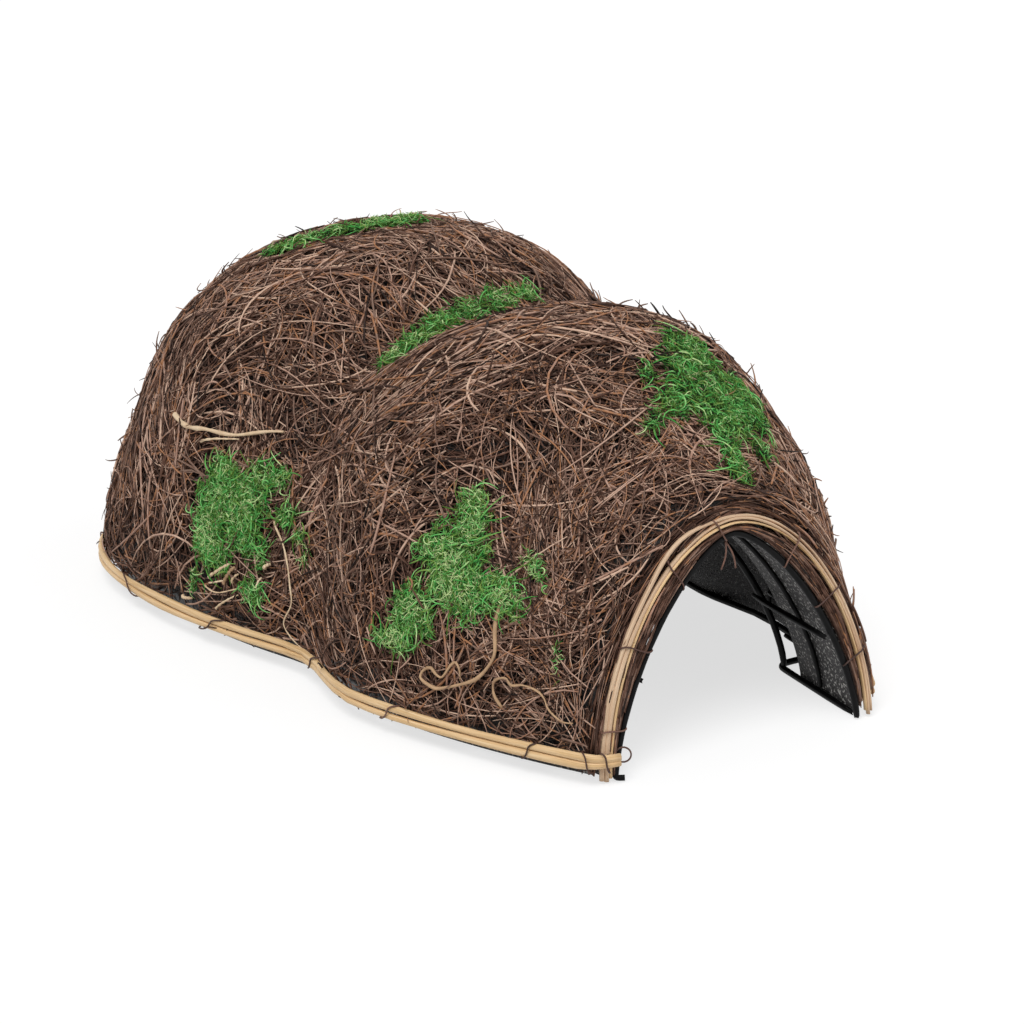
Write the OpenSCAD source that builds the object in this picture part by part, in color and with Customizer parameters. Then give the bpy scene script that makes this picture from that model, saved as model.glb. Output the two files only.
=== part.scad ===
// Straw hedgehog house: a wire frame with an entrance tunnel carries a black liner, a mat of
// twigs in two domes, pads of moss and split-cane trims. It has no floor.
// Millimetres, entrance towards -Y, up +Z, standing on Z = 0, origin at the middle of the footprint.

/* [House] */
// Length from the front of the arch trim to the ties on the back
house_length = 480; // [440:5:540]
// Width over the ties on the rear dome
house_width = 320; // [290:5:360]
// Height of the twig mat at the crown of the rear dome
rear_height = 203; // [180:1:230]
// Width of the twig mat across the front dome
front_width = 278; // [256:2:310]
// How much lower the crown of the front dome is
crown_drop = 13; // [5:1:25]

/* [Domes] */
// Distance from the entrance to the widest section of the front dome
front_widest = 140; // [125:5:160]
// Distance from the entrance to the widest section of the rear dome
rear_widest = 345; // [330:5:370]
// Distance from the entrance to the crown of the front dome
front_crown = 135; // [115:5:150]
// Distance from the entrance to the crown of the rear dome
rear_crown = 300; // [285:5:320]
// How far the front dome's plan would run on behind its widest section
front_plan_run = 110; // [100:5:130]
// How far the rear dome's plan would run on in front of its widest section
rear_plan_run = 245; // [225:5:280]
// How far the front dome's ridge would run on behind its crown
front_ridge_run = 190; // [180:5:230]
// How far the rear dome's ridge would run on in front of its crown
rear_ridge_run = 95; // [85:1:110]
// Distance from the entrance to the saddle where the two mats meet
saddle = 238; // [225:1:250]

/* [Entrance] */
// Clear width between the legs of the entrance hoop
entrance_width = 144; // [120:2:150]
// Clear height under the entrance hoop
entrance_height = 108; // [95:1:115]
// Backward lean of the entrance in degrees
entrance_lean = 5; // [0:0.5:8]
// Depth of the tunnel from the entrance hoop to the inner hoop
tunnel_depth = 72; // [60:1:85]
// Extra half width of the tunnel at the inner hoop
tunnel_flare = 9; // [4:1:12]
// Length of the frame that stays bare between the tunnel liner and the inner hoop
bare_end = 12; // [8:1:16]
// Height of the rail on each side of the tunnel
rail_height = 48; // [35:1:60]

/* [Wire] */
// Diameter of the base ring, the sills, the rails and the two main tunnel hoops
wire_d = 3.5; // [3:0.5:5]
// Diameter of the dome hoops, the belts, the ridge wire, the rungs and the middle tunnel hoop
thin_wire_d = 2.5; // [2:0.5:4]
// Bend radius where a sill turns out to the base ring
sill_bend = 8; // [6:1:12]
// Distance from the last dome hoop to the back of the mat
back_hoop_inset = 53; // [45:1:65]
// Height of the lower belt
lower_belt_height = 48; // [40:1:60]
// Height of the upper belt
upper_belt_height = 108; // [95:1:120]

/* [Cover] */
// Thickness of the liner sheet
liner_t = 0.8; // [0.5:0.1:1.5]
// Thickness of the twig mat
mat_t = 12; // [8:0.5:16]
// Height of the mat's lower edge above the ground
mat_foot = 4; // [2:0.5:8]
// Diameter of the loose twigs laid over the mat
twig_d = 2.8; // [2:0.1:3.2]
// Length of the loose twigs
twig_length = 37; // [35:1:42]
// Thickness of the moss pads
moss_t = 5.5; // [4:0.5:10]

/* [Moss] */
// Distance from the entrance to the middle of the moss over it
front_top_moss_place = 62; // [50:1:80]
// Half its length along the house
front_top_moss_along = 42; // [30:1:50]
// Half its length over the arch
front_top_moss_over = 36; // [25:1:45]
// Distance from the entrance to the middle of the moss on the left of the front dome
left_front_moss_place = 88; // [75:1:105]
// Half its length along the house
left_front_moss_along = 40; // [30:1:50]
// Half its length over the arch
left_front_moss_over = 36; // [25:1:45]
// Distance from the saddle to the middle of the moss on the left of the rear dome
left_rear_moss_place = 14; // [0:1:40]
// Half its length along the house
left_rear_moss_along = 42; // [30:1:50]
// Half its length over the arch
left_rear_moss_over = 38; // [25:1:45]
// Distance from the saddle to the middle of the moss behind it
saddle_moss_place = 20; // [15:1:25]
// Half its length along the house
saddle_moss_along = 13; // [10:1:16]
// Half its length over the arch
saddle_moss_over = 58; // [40:1:65]
// Distance from the saddle to the middle of the moss on top of the rear dome
rear_top_moss_place = 80; // [60:1:100]
// Half its length along the house
rear_top_moss_along = 44; // [30:1:50]
// Half its length over the arch
rear_top_moss_over = 24; // [18:1:30]

/* [Trim] */
// Width of each cane strip of the base trim
cane_w = 3.8; // [3:0.2:6]
// Width of each cane strip round the arch
arch_cane_w = 2; // [2:0.2:5]
// Thickness of every cane strip
cane_t = 3; // [2:0.5:4]
// Height of the base trim's lower edge above the ground
trim_height = 9; // [6:0.5:14]
// Thickness of the binding wire of the ties
tie_d = 1; // [0.6:0.1:1.5]

/* [Fit] */
// Clearance between neighbouring pieces
gap = 0.3; // [0.2:0.05:0.4]
// Clearance between the liner and the frame
frame_gap = 0.8; // [0.6:0.1:0.9]
// Clearance between the crossing wires of the domes
cross_gap = 1.2; // [1:0.1:1.5]
// Clearance between the mat and the cane strips of the base trim
trim_gap = 0.8; // [0.6:0.1:0.9]
// Clearance between the mat and the loose twigs on it
twig_gap = 0.95; // [0.9:0.05:1]
// Clearance between the loose twigs and the moss on them
moss_gap = 0.7; // [0.6:0.1:0.9]

/* [Hidden] */

wire_col = "#161517";
liner_col = "#262525";
mat_col = "#5a463a";
twig_col = "#7a6355";
moss_col = "#4f7a3c";
cane_col = "#c9a884";

// Cross-section powers: 2 is an ellipse, more is squarer, less is more pointed.
// The tunnel's hoops have straighter legs than the mouth of the mat and the canes round it.
arch_power = 1.82;
dome_power = 2.2;
tunnel_power = 1.5;
// Powers of the outlines seen from above and from the side
front_plan_power = 1.35;
front_ridge_power = 1.45;
back_plan_power = 2.5;
back_ridge_power = 2.6;
// Sharpness of the crease where the domes meet
crease = 10;

// Facets: steps over an arch and along each piece, sides of a wire
arc_steps = 18;
front_steps = 16;
rear_steps = 21;
plan_steps = 40;
trim_arc_steps = 32;
ring_steps = 20;
belt_steps = 22;
liner_steps = 4;
rung_steps = 6;
bend_steps = 4;
// How much the stations of the rear dome and the belts crowd towards their first end
crowding = 1.4;
wire_sides = 8;
thin_sides = 6;
twig_sides = 3;

// The ends of the house
y_front = -house_length/2;
y_back = house_length/2;
proud = gap + tie_d;
mat_front = y_front + cane_t + gap;
mat_back = y_back - proud - cane_t - trim_gap;
split = y_front + saddle;
// Length over which the lean of the entrance fades
lean_run = 122;
// The rear sections end this far short of the point where they would vanish
back_end = 0.4;

// Half the width of the main wire over its corners
wire_corner = wire_d/2/cos(180/wire_sides);
// The entrance hoop's centre line, and the mat's edge around it
arch_y = y_front + wire_d/2;
arch_w = entrance_width/2 + wire_d/2;
arch_h = entrance_height + wire_d/2;
edge = wire_d/2 + gap + liner_t + gap + mat_t;
mouth_w = arch_w + edge;
mouth_h = arch_h + edge;
inner_y = arch_y + tunnel_depth;
// Foot of what stands on the base ring and the sills
sill_top = wire_d + gap;
// Spacing of the dome hoops along the house
hoop_count = 6;
hoop_pitch = (mat_back - back_hoop_inset - arch_y)/hoop_count;
slope = tan(entrance_lean);

// Depths below the outer face of the mat
liner_out = mat_t + gap;
liner_in = liner_out + liner_t;
hoop_depth = liner_in + frame_gap + thin_wire_d/2;
belt_depth = hoop_depth + thin_wire_d + cross_gap;
ring_depth = liner_in + frame_gap + wire_d/2;
// Heights above the outer face of the mat
twig_lift = twig_gap + twig_d/2*cos(180/twig_sides);
moss_lift = twig_lift + twig_d/2 + moss_gap;

rear_w = house_width/2 - proud - cane_t - trim_gap;
front_w = front_width/2;
front_height = rear_height - crown_drop;

function unit(v) = v/norm(v);
function signed_power(v, e) = sign(v)*pow(abs(v), e);
function clamp(v) = max(0, min(1, v));
function mirrored(points) = [for (p = points) [-p[0], p[1], p[2]]];
function flipped(list) = [for (i = [len(list) - 1:-1:0]) list[i]];
function noise(i) = let (v = sin(i*127.1)*437.585) v - floor(v);

// Share of a dome's size at y: 1 in the middle, 0 where each run ends
function lobe(y, middle, front_run, back_run, front_power, back_power) =
    let (before = y < middle,
         t = before ? (middle - y)/front_run : (y - middle)/back_run,
         p = before ? front_power : back_power)
    t >= 1 ? 0 : pow(1 - pow(t, p), 1/p);
// The run of a front dome that begins at the size start, the length run before its middle
function lead(size, start, run, power) = run/pow(1 - pow(start/size, power), 1/power);
function blend(a, b) = pow(pow(a, crease) + pow(b, crease), 1/crease);

// Half width and height of the house at y, at a depth below the outer face of the mat
function half_width(y, depth) =
    let (a = front_w - depth,
         front = y_front + front_widest,
         rear = y_front + rear_widest,
         run = lead(a, mouth_w - depth, front - mat_front, front_plan_power))
    blend(a*lobe(y, front, run, front_plan_run, front_plan_power, 2),
          (rear_w - depth)*lobe(y, rear, rear_plan_run, mat_back - depth - rear, 2, back_plan_power));
function height(y, depth) =
    let (a = front_height - depth,
         front = y_front + front_crown,
         rear = y_front + rear_crown,
         run = lead(a, mouth_h - depth, front - mat_front, front_ridge_power))
    blend(a*lobe(y, front, run, front_ridge_run, front_ridge_power, 2),
          (rear_height - depth)*lobe(y, rear, rear_ridge_run, mat_back - depth - rear, 2, back_ridge_power));
function fade(y) = clamp((y - mat_front)/lean_run);
function power(y) = arch_power + (dome_power - arch_power)*fade(y);
function lean(y) = slope*(1 - fade(y));

// A point of an arched section: the angle runs from the right foot over the top to the left foot
function arch_point(w, h, n, angle, foot) =
    [w*signed_power(cos(angle), 2/n), foot + (h - foot)*pow(abs(sin(angle)), 2/n)];
// Direction that faces out of such a section
function facing(w, h, n, angle) =
    unit([signed_power(cos(angle), 2 - 2/n)/w, pow(abs(sin(angle)), 2 - 2/n)/h]);
// A point of the house's skin
function skin(y, angle, depth, foot = 0) =
    let (p = arch_point(half_width(y, depth), height(y, depth), power(y), angle, foot))
    [p[0], y + lean(y)*p[1], p[1]];
// A point of the tunnel, at an offset outside the centre line of its hoops
function tunnel(y, angle, out, foot) =
    let (w = arch_w + tunnel_flare*(y - arch_y)/tunnel_depth,
         p = arch_point(w, arch_h, tunnel_power, angle, foot) + out*facing(w, arch_h, tunnel_power, angle))
    [p[0], y + slope*p[1], p[1]];
// A point lifted off the skin, square to it
function lifted(y, angle, lift) =
    let (step = 0.5,
         along = skin(y + step, angle, 0) - skin(y - step, angle, 0),
         over = skin(y, angle + step, 0) - skin(y, angle - step, 0))
    skin(y, angle, 0) + lift*unit(cross(along, over));

function arc_angles(steps) = [for (j = [0:steps]) 180*j/steps];
// Stations from a to b, closer together towards b, and also towards a where the power is over 1
function closing(a, b, steps, power = 1) = [for (i = [0:steps]) a + (b - a)*pow(sin(90*i/steps), power)];
function even(a, b, steps) = [for (i = [0:steps]) a + (b - a)*i/steps];

// A tube swept along a path, with a flat underneath where up is +Z
module tube(path, d, sides, up) {
    n = len(path);
    r = d/2/cos(180/sides);
    points = [for (i = [0:n - 1])
        let (t = unit(path[min(i + 1, n - 1)] - path[max(i - 1, 0)]),
             side = unit(cross(t, up)),
             top = cross(side, t))
        for (k = [0:sides - 1])
            let (angle = 360*(k + 0.5)/sides)
            path[i] + r*(cos(angle)*side + sin(angle)*top)];
    walls = [for (i = [0:n - 2], k = [0:sides - 1])
        let (a = i*sides + k, b = i*sides + (k + 1)%sides)
        each [[a, b, b + sides], [a, b + sides, a + sides]]];
    start = [for (k = [sides - 1:-1:0]) k];
    end = [for (k = [0:sides - 1]) (n - 1)*sides + k];
    polyhedron(points, concat([start], walls, [end]));
}

// A shell between two grids of points, open underneath, its last row open or closed
module shell(outer, inner, closed) {
    rows = len(outer) - 1;
    cols = len(outer[0]) - 1;
    width = cols + 1;
    half = (rows + 1)*width;
    points = concat([for (row = outer) each row], [for (row = inner) each row]);
    faces = [for (i = [0:rows - 1], j = [0:cols - 1])
        let (a = i*width + j, b = a + width, c = a + half, d = b + half)
        each [[a, a + 1, b + 1], [a, b + 1, b], [c, d + 1, c + 1], [c, d, d + 1]]];
    front = [for (j = [0:cols - 1])
        let (a = j, c = j + half)
        each [[a, c, c + 1], [a, c + 1, a + 1]]];
    feet = [for (i = [0:rows - 1])
        let (a = i*width, b = a + width, c = a + half, d = b + half,
             e = a + cols, f = b + cols, g = c + cols, h = d + cols)
        each [[a, b, d], [a, d, c], [e, g, h], [e, h, f]]];
    last = rows*width;
    open_end = [for (j = [0:cols - 1])
        let (a = last + j, c = a + half)
        each [[a, c + 1, c], [a, a + 1, c + 1]]];
    closed_end = [[for (j = [0:cols]) last + j],
        [for (j = [cols:-1:0]) last + j + half],
        [last, last + cols, last + cols + half, last + half]];
    polyhedron(points, concat(faces, front, feet, closed ? closed_end : open_end));
}

// A grid of skin points for a shell
function skin_grid(stations, depth, foot) =
    [for (y = stations) [for (angle = arc_angles(arc_steps)) skin(y, angle, depth, foot)]];
function front_stations(start) =
    concat([start], [for (y = even(mat_front, split - gap/2, front_steps)) if (y > start) y]);
function rear_stations(depth) = closing(split + gap/2, mat_back - depth - back_end, rear_steps, crowding);

module front_shell(out, in, start, foot) {
    stations = front_stations(start);
    shell(skin_grid(stations, out, foot), skin_grid(stations, in, foot), false);
}
module rear_shell(out, in, foot) {
    shell(skin_grid(rear_stations(out), out, foot), skin_grid(rear_stations(in), in, foot), true);
}

// Wire frame on the ground

// Centre of the right sill beside y, and the first place where the base ring clears it
function sill_x(y) = arch_w + tunnel_flare*(y - arch_y)/tunnel_depth;
function ring_start(y) =
    let (step = 0.5)
    half_width(y, ring_depth) - sill_x(y) >= wire_d + gap ? y : ring_start(y + step);
function ring_side() =
    [for (y = closing(ring_start(mat_front + wire_d), mat_back - ring_depth, ring_steps))
        [half_width(y, ring_depth), y, wire_d/2]];

module base_ring() {
    right = ring_side();
    left = mirrored([for (i = [len(right) - 2:-1:0]) right[i]]);
    color(wire_col) tube(concat(right, left), wire_d, wire_sides, [0, 0, 1]);
}

module sill(hand) {
    bend_x = sill_x(inner_y) + sill_bend;
    turn_y = inner_y + sill_bend;
    bend = [for (i = [0:bend_steps])
        let (angle = 180 - 90*i/bend_steps)
        [bend_x + sill_bend*cos(angle), inner_y + sill_bend*sin(angle), wire_d/2]];
    start = arch_y + slope*wire_d + wire_corner + gap;
    end = half_width(turn_y - wire_corner, ring_depth) - wire_corner - 2*gap;
    path = concat([[sill_x(start), start, wire_d/2]], bend, [[end, turn_y, wire_d/2]]);
    color(wire_col)
        tube(hand > 0 ? path : flipped(mirrored(path)), wire_d, wire_sides, [0, 0, 1]);
}
module left_sill() sill(-1);
module right_sill() sill(1);

// Tunnel frame

module tunnel_hoop(y, d, sides, out, foot) {
    path = [for (angle = arc_angles(arc_steps)) tunnel(y, angle, out, foot)];
    color(wire_col) tube(path, d, sides, [0, 1, 0]);
}
module entrance_hoop() tunnel_hoop(arch_y, wire_d, wire_sides, 0, 2*gap);
module tunnel_inner_hoop() tunnel_hoop(inner_y, wire_d, wire_sides, 0, sill_top);
module tunnel_middle_hoop()
    tunnel_hoop(arch_y + tunnel_depth/2, thin_wire_d, thin_sides, (wire_d - thin_wire_d)/2, sill_top);

// Angle at which a tunnel hoop reaches a height
function tunnel_angle(z) = asin(pow((z - sill_top)/(arch_h - sill_top), tunnel_power/2));

module rail(hand) {
    in = -2*wire_corner - frame_gap - gap;
    stations = [arch_y - wire_d/2, inner_y + wire_d/2];
    path = [for (y = stations) tunnel(y, tunnel_angle(rail_height), in, sill_top)];
    color(wire_col) tube(hand > 0 ? path : mirrored(path), wire_d, wire_sides, [0, 0, 1]);
}
module left_rail() rail(-1);
module right_rail() rail(1);

sheet_in = wire_d/2 + gap;
sheet_out = sheet_in + liner_t;
rung_start = arch_y + tunnel_depth/4;
rung_heights = [18, 42, 72];

module rungs(hand) {
    out = sheet_out + frame_gap + thin_wire_d/2;
    for (z = rung_heights) {
        path = [for (y = even(rung_start, inner_y + thin_wire_d, rung_steps))
            tunnel(y, tunnel_angle(z), out, sill_top)];
        color(wire_col) tube(hand > 0 ? path : mirrored(path), thin_wire_d, thin_sides, [0, 0, 1]);
    }
}
module left_rungs() rungs(-1);
module right_rungs() rungs(1);

// Dome frame

module dome_hoop(index) {
    y = arch_y + index*hoop_pitch;
    path = [for (angle = arc_angles(arc_steps)) skin(y, angle, hoop_depth, sill_top)];
    color(wire_col) tube(path, thin_wire_d, thin_sides, [0, 1, 0]);
}
module front_hoop() dome_hoop(1);
module front_crown_hoop() dome_hoop(2);
module saddle_hoop() dome_hoop(3);
module rear_crown_hoop() dome_hoop(4);
module rear_hoop() dome_hoop(5);
module back_hoop() dome_hoop(hoop_count);

// Half width of the skin at a height, and the place at the back where the ridge falls to that height
function width_at(y, depth, z) =
    half_width(y, depth)*pow(max(0, 1 - pow(z/height(y, depth), power(y))), 1/power(y));
function ridge_end(depth, z) =
    let (rear = y_front + rear_crown)
    rear + (mat_back - depth - rear)
        *pow(1 - pow(z/(rear_height - depth), back_ridge_power), 1/back_ridge_power);

module belt(z) {
    start = arch_y + tunnel_depth/2;
    right = [for (y = closing(start, ridge_end(belt_depth, z), belt_steps, crowding))
        [width_at(y, belt_depth, z), y + lean(y)*z, z]];
    left = mirrored([for (i = [len(right) - 2:-1:0]) right[i]]);
    color(wire_col) tube(concat(right, left), thin_wire_d, thin_sides, [0, 0, 1]);
}
module lower_belt() belt(lower_belt_height);
module upper_belt() belt(upper_belt_height);

module ridge_wire() {
    depth = hoop_depth + thin_wire_d + frame_gap;
    stations = even(arch_y + tunnel_depth/2, arch_y + hoop_count*hoop_pitch + thin_wire_d, ring_steps);
    path = [for (y = stations) let (h = height(y, depth)) [0, y + lean(y)*h, h]];
    color(wire_col) tube(path, thin_wire_d, thin_sides, [1, 0, 0]);
}

// Liner

module tunnel_liner() {
    stations = even(mat_front, inner_y - bare_end, liner_steps);
    outer = [for (y = stations) [for (angle = arc_angles(arc_steps)) tunnel(y, angle, sheet_out, sill_top)]];
    inner = [for (y = stations) [for (angle = arc_angles(arc_steps)) tunnel(y, angle, sheet_in, sill_top)]];
    color(liner_col) shell(outer, inner, false);
}
module front_liner() color(liner_col) front_shell(liner_out, liner_in, mat_front + mat_t/2, mat_foot);
module rear_liner() color(liner_col) rear_shell(liner_out, liner_in, mat_foot);

// Twig mat

module front_mat() color(mat_col) front_shell(0, mat_t, mat_front, mat_foot);
module rear_mat() color(mat_col) rear_shell(0, mat_t, mat_foot);

// Loose twigs lie in rows over the mat, slanted and bowed alike where they lie side by side
twig_points = 3;
twig_rows = 20;
// Shares of the way over the arch: where the lowest rows lie, and the most the twigs slant and bow
twig_lowest = 0.065;
twig_slant = 0.045;
twig_bow = 0.012;
// Shares: how much shorter some twigs are, how far rows are staggered, where the rows end
twig_vary = 0.2;
twig_stagger = 0.6;
front_twig_end = 0.95;
rear_twig_end = 0.94;
// Rows an equal share of the arch apart keep about equal distances at this power
foot_crowding = 1.14;
// Height that twigs stay above, clear of the base trim
twig_floor = trim_height + 2*cane_w + twig_d;

function front_y(t) = mat_front + (split - mat_front)*t;
function rear_y(t) = split + (mat_back - split)*sin(90*t);
// Angle at a share of the way over the arch
function over_angle(share) =
    share < 0.5 ? 90*pow(2*share, foot_crowding) : 180 - 90*pow(2 - 2*share, foot_crowding);
// A point laid over the flat faces of the mat between its lines
function laid(y, angle, lift) =
    let (line = 180/arc_steps,
         low = floor(angle/line)*line,
         part = (angle - low)/line,
         chord = skin(y, low, 0, mat_foot)*(1 - part) + skin(y, low + line, 0, mat_foot)*part)
    chord + lifted(y, angle, lift) - skin(y, angle, 0);

// Points of a twig round a share t of the dome's length, reaching half a twig to each side
function twig_path(rear, t, half, place, index, lift) =
    let (slant = twig_slant*sin(40*index + 360*t),
         bow = twig_bow*sin(75*index + 540*t))
    [for (i = [0:twig_points - 1])
        let (u = 2*i/(twig_points - 1) - 1,
             s = t + half*u,
             share = place + slant*u/2 + bow*(u*u - 0.5))
        laid(rear ? rear_y(s) : front_y(s), over_angle(share), lift)];
module twigs(rear, length, last) {
    count = floor(length*last/(twig_length + 2*twig_d));
    pitch = last/count;
    color(twig_col)
        for (row = [0:twig_rows - 1], i = [0:count - 1]) {
            half = twig_length/length*(1 - twig_vary*noise(row*count + i))/2;
            place = twig_lowest + (1 - 2*twig_lowest)*row/(twig_rows - 1);
            shift = (pitch/2 - half)*(row%2 == 0 ? -twig_stagger : twig_stagger);
            t = pitch*(i + 0.5) + shift;
            path = twig_path(rear, t, half, place, row, twig_lift);
            above = twig_path(rear, t, half, place, row, twig_lift + twig_d);
            up = cross(path[twig_points - 1] - path[0], above[0] - path[0]);
            if (min([for (p = path) p[2]]) > twig_floor)
                tube(path, twig_d*cos(180/twig_sides), twig_sides, up);
        }
}
module front_twigs() twigs(false, split - mat_front, front_twig_end);
// The rear dome's rows run on round its back, as a quarter of an ellipse does
module rear_twigs() twigs(true, (mat_back - split)*PI/2, rear_twig_end);

// Moss

// Waviness of a pad's outline, coarse and fine, and how far its top falls off towards the rim
moss_wave = 0.14;
moss_ripple = 0.1;
moss_fall = 0.9;
moss_rings = 3;
moss_spokes = 16;

// A pad round a place on the skin: half lengths along the house and over the arch, turned by an angle
module moss(y, angle, along, over, turn, seed) {
    rings = moss_rings;
    spokes = moss_spokes;
    reach = [for (k = [0:spokes - 1])
        let (a = 360*k/spokes)
        1 + moss_wave*sin(3*a + 70*seed) + moss_ripple*sin(5*a + 131*seed)];
    arc_radius = height(y, 0);
    place = [for (i = [1:rings], k = [0:spokes - 1])
        let (a = 360*k/spokes,
             r = i/rings*reach[k],
             u = r*along*cos(a),
             v = r*over*sin(a))
        [y + u*cos(turn) - v*sin(turn), angle + (u*sin(turn) + v*cos(turn))/arc_radius*180/PI]];
    lift = [for (i = [1:rings], k = [0:spokes - 1]) moss_t*sqrt(1 - moss_fall*pow(i/rings, 2))];
    n = rings*spokes;
    top = [for (i = [0:n - 1]) lifted(place[i][0], place[i][1], moss_lift + lift[i])];
    bottom = [for (p = place) lifted(p[0], p[1], moss_lift)];
    points = concat([lifted(y, angle, moss_lift + moss_t)], top, [lifted(y, angle, moss_lift)], bottom);
    under = n + 1;
    caps = [for (k = [0:spokes - 1])
        let (a = 1 + k, b = 1 + (k + 1)%spokes)
        each [[0, b, a], [under, a + under, b + under]]];
    bands = [for (i = [0:rings - 2], k = [0:spokes - 1])
        let (a = 1 + i*spokes + k, b = 1 + i*spokes + (k + 1)%spokes, c = b + spokes, d = a + spokes)
        each [[a, b, c], [a, c, d], [a + under, c + under, b + under], [a + under, d + under, c + under]]];
    rim = [for (k = [0:spokes - 1])
        let (a = 1 + (rings - 1)*spokes + k, b = 1 + (rings - 1)*spokes + (k + 1)%spokes)
        each [[a, b, b + under], [a, b + under, a + under]]];
    color(moss_col) polyhedron(points, concat(caps, bands, rim));
}
module front_top_moss()
    moss(y_front + front_top_moss_place, 80, front_top_moss_along, front_top_moss_over, -15, seed = 1);
module left_front_moss()
    moss(y_front + left_front_moss_place, 152, left_front_moss_along, left_front_moss_over, 0, seed = 2);
module left_rear_moss()
    moss(split + left_rear_moss_place, 157, left_rear_moss_along, left_rear_moss_over, 0, seed = 3);
module saddle_moss()
    moss(split + saddle_moss_place, 110, saddle_moss_along, saddle_moss_over, 8, seed = 4);
module rear_top_moss()
    moss(split + rear_top_moss_place, 103, rear_top_moss_along, rear_top_moss_over, 57, seed = 5);

// Cane trims

// One side of the outline of the base trim seen from above, at an offset outside the mat
function trim_side(out) =
    [for (y = closing(mat_front + cane_t, mat_back + out, plan_steps)) [half_width(y, -out), y]];
function trim_outline(out) =
    let (right = trim_side(out))
    concat(right, [for (i = [len(right) - 2:-1:0]) [-right[i][0], right[i][1]]]);

module base_trim(z) {
    color(cane_col) translate([0, 0, z]) linear_extrude(cane_w)
        polygon(concat(trim_outline(trim_gap + cane_t), flipped(trim_outline(trim_gap))));
}
module base_trim_lower() base_trim(trim_height);
module base_trim_upper() base_trim(trim_height + cane_w + gap);

// Height of the entrance hoop's centre line measured along its lean
leaning_h = arch_h/cos(entrance_lean);
// The angle at which the strips round the arch begin, level with the mat's foot
arch_start = asin(pow((mat_foot - gap)/(leaning_h - gap), arch_power/2));
// The outline of a strip's edge round the arch, at an offset outside the hoop's centre line
function arch_edge(out) =
    [for (angle = even(arch_start, 180 - arch_start, trim_arc_steps))
        arch_point(arch_w, leaning_h, arch_power, angle, gap)
            + out*facing(arch_w, leaning_h, arch_power, angle)];

module arch_trim(index) {
    out = wire_d/2 + gap + index*(arch_cane_w + gap);
    color(cane_col) translate([0, y_front + cane_t, 0]) rotate([90 - entrance_lean, 0, 0])
        linear_extrude(cane_t)
            polygon(concat(arch_edge(out + arch_cane_w), flipped(arch_edge(out))));
}
module arch_trim_inner() arch_trim(0);
module arch_trim_middle() arch_trim(1);
module arch_trim_outer() arch_trim(2);

// Ties

// Distances of the ties along the house, on both sides, and places of those over the arch
base_tie_places = [30, 110, 190, 270, 350, 430];
arch_tie_angles = [20, 40, 60, 90, 120, 140, 160];

// A clip of wire that goes round strips w wide and t thick in all, open at the back
module clip(w, t) {
    out = w/2 + proud;
    linear_extrude(tie_d, center = true) difference() {
        translate([-out, 0]) square([2*out, t + proud]);
        translate([-w/2 - gap, -tie_d]) square([w + 2*gap, tie_d + t + gap]);
    }
}

// A tie over both strips of the base trim, at a place on the trim's inner face, facing an angle
module base_tie(x, y, facing) {
    w = 2*cane_w + gap;
    translate([x, y, trim_height + w/2]) rotate([0, 0, facing]) rotate([90, 0, 0]) rotate([0, 0, -90])
        clip(w, cane_t);
}
module base_ties() {
    color(wire_col) {
        for (place = base_tie_places) {
            y = y_front + place;
            x = half_width(y, -trim_gap);
            swing = atan2(half_width(y - 1, -trim_gap) - half_width(y + 1, -trim_gap), 2);
            base_tie(x, y, swing);
            base_tie(-x, y, 180 - swing);
        }
        base_tie(0, mat_back + trim_gap, 90);
    }
}

// How far the hoop's centre line lies inside a point of the arch, along a direction
function to_hoop(p, f, s = 0) =
    let (step = 0.1,
         q = p - s*f)
    pow(abs(q[0])/arch_w, tunnel_power) + pow(q[1]/leaning_h, tunnel_power) <= 1 ? s : to_hoop(p, f, s + step);

module arch_ties() {
    out = wire_d/2 + 3*(gap + arch_cane_w);
    color(wire_col) translate([0, y_front + cane_t, 0]) rotate([-entrance_lean, 0, 0])
        for (angle = arch_tie_angles) {
            p = arch_point(arch_w, leaning_h, arch_power, angle, gap);
            f = facing(arch_w, leaning_h, arch_power, angle);
            in = to_hoop(p, f) + wire_corner;
            translate([p[0], 0, p[1]]) rotate([0, -atan2(f[1], f[0]), 0])
                translate([(out - in)/2, 0, 0]) rotate([0, 0, 180]) clip(out + in, cane_t);
        }
}

base_ring();
entrance_hoop();
tunnel_middle_hoop();
tunnel_inner_hoop();
left_sill();
right_sill();
left_rail();
right_rail();
left_rungs();
right_rungs();
front_hoop();
front_crown_hoop();
saddle_hoop();
rear_crown_hoop();
rear_hoop();
back_hoop();
lower_belt();
upper_belt();
ridge_wire();
tunnel_liner();
front_liner();
rear_liner();
front_mat();
rear_mat();
front_twigs();
rear_twigs();
front_top_moss();
left_front_moss();
left_rear_moss();
saddle_moss();
rear_top_moss();
base_trim_lower();
base_trim_upper();
arch_trim_inner();
arch_trim_middle();
arch_trim_outer();
base_ties();
arch_ties();
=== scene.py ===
"""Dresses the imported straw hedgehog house: wire, liner, thatch, moss, cane trims and ties."""

import logging
import math
from collections.abc import Callable
from dataclasses import dataclass
from enum import Enum

import bmesh
import bpy
import numpy as np
from mathutils import Matrix, Vector


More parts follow.
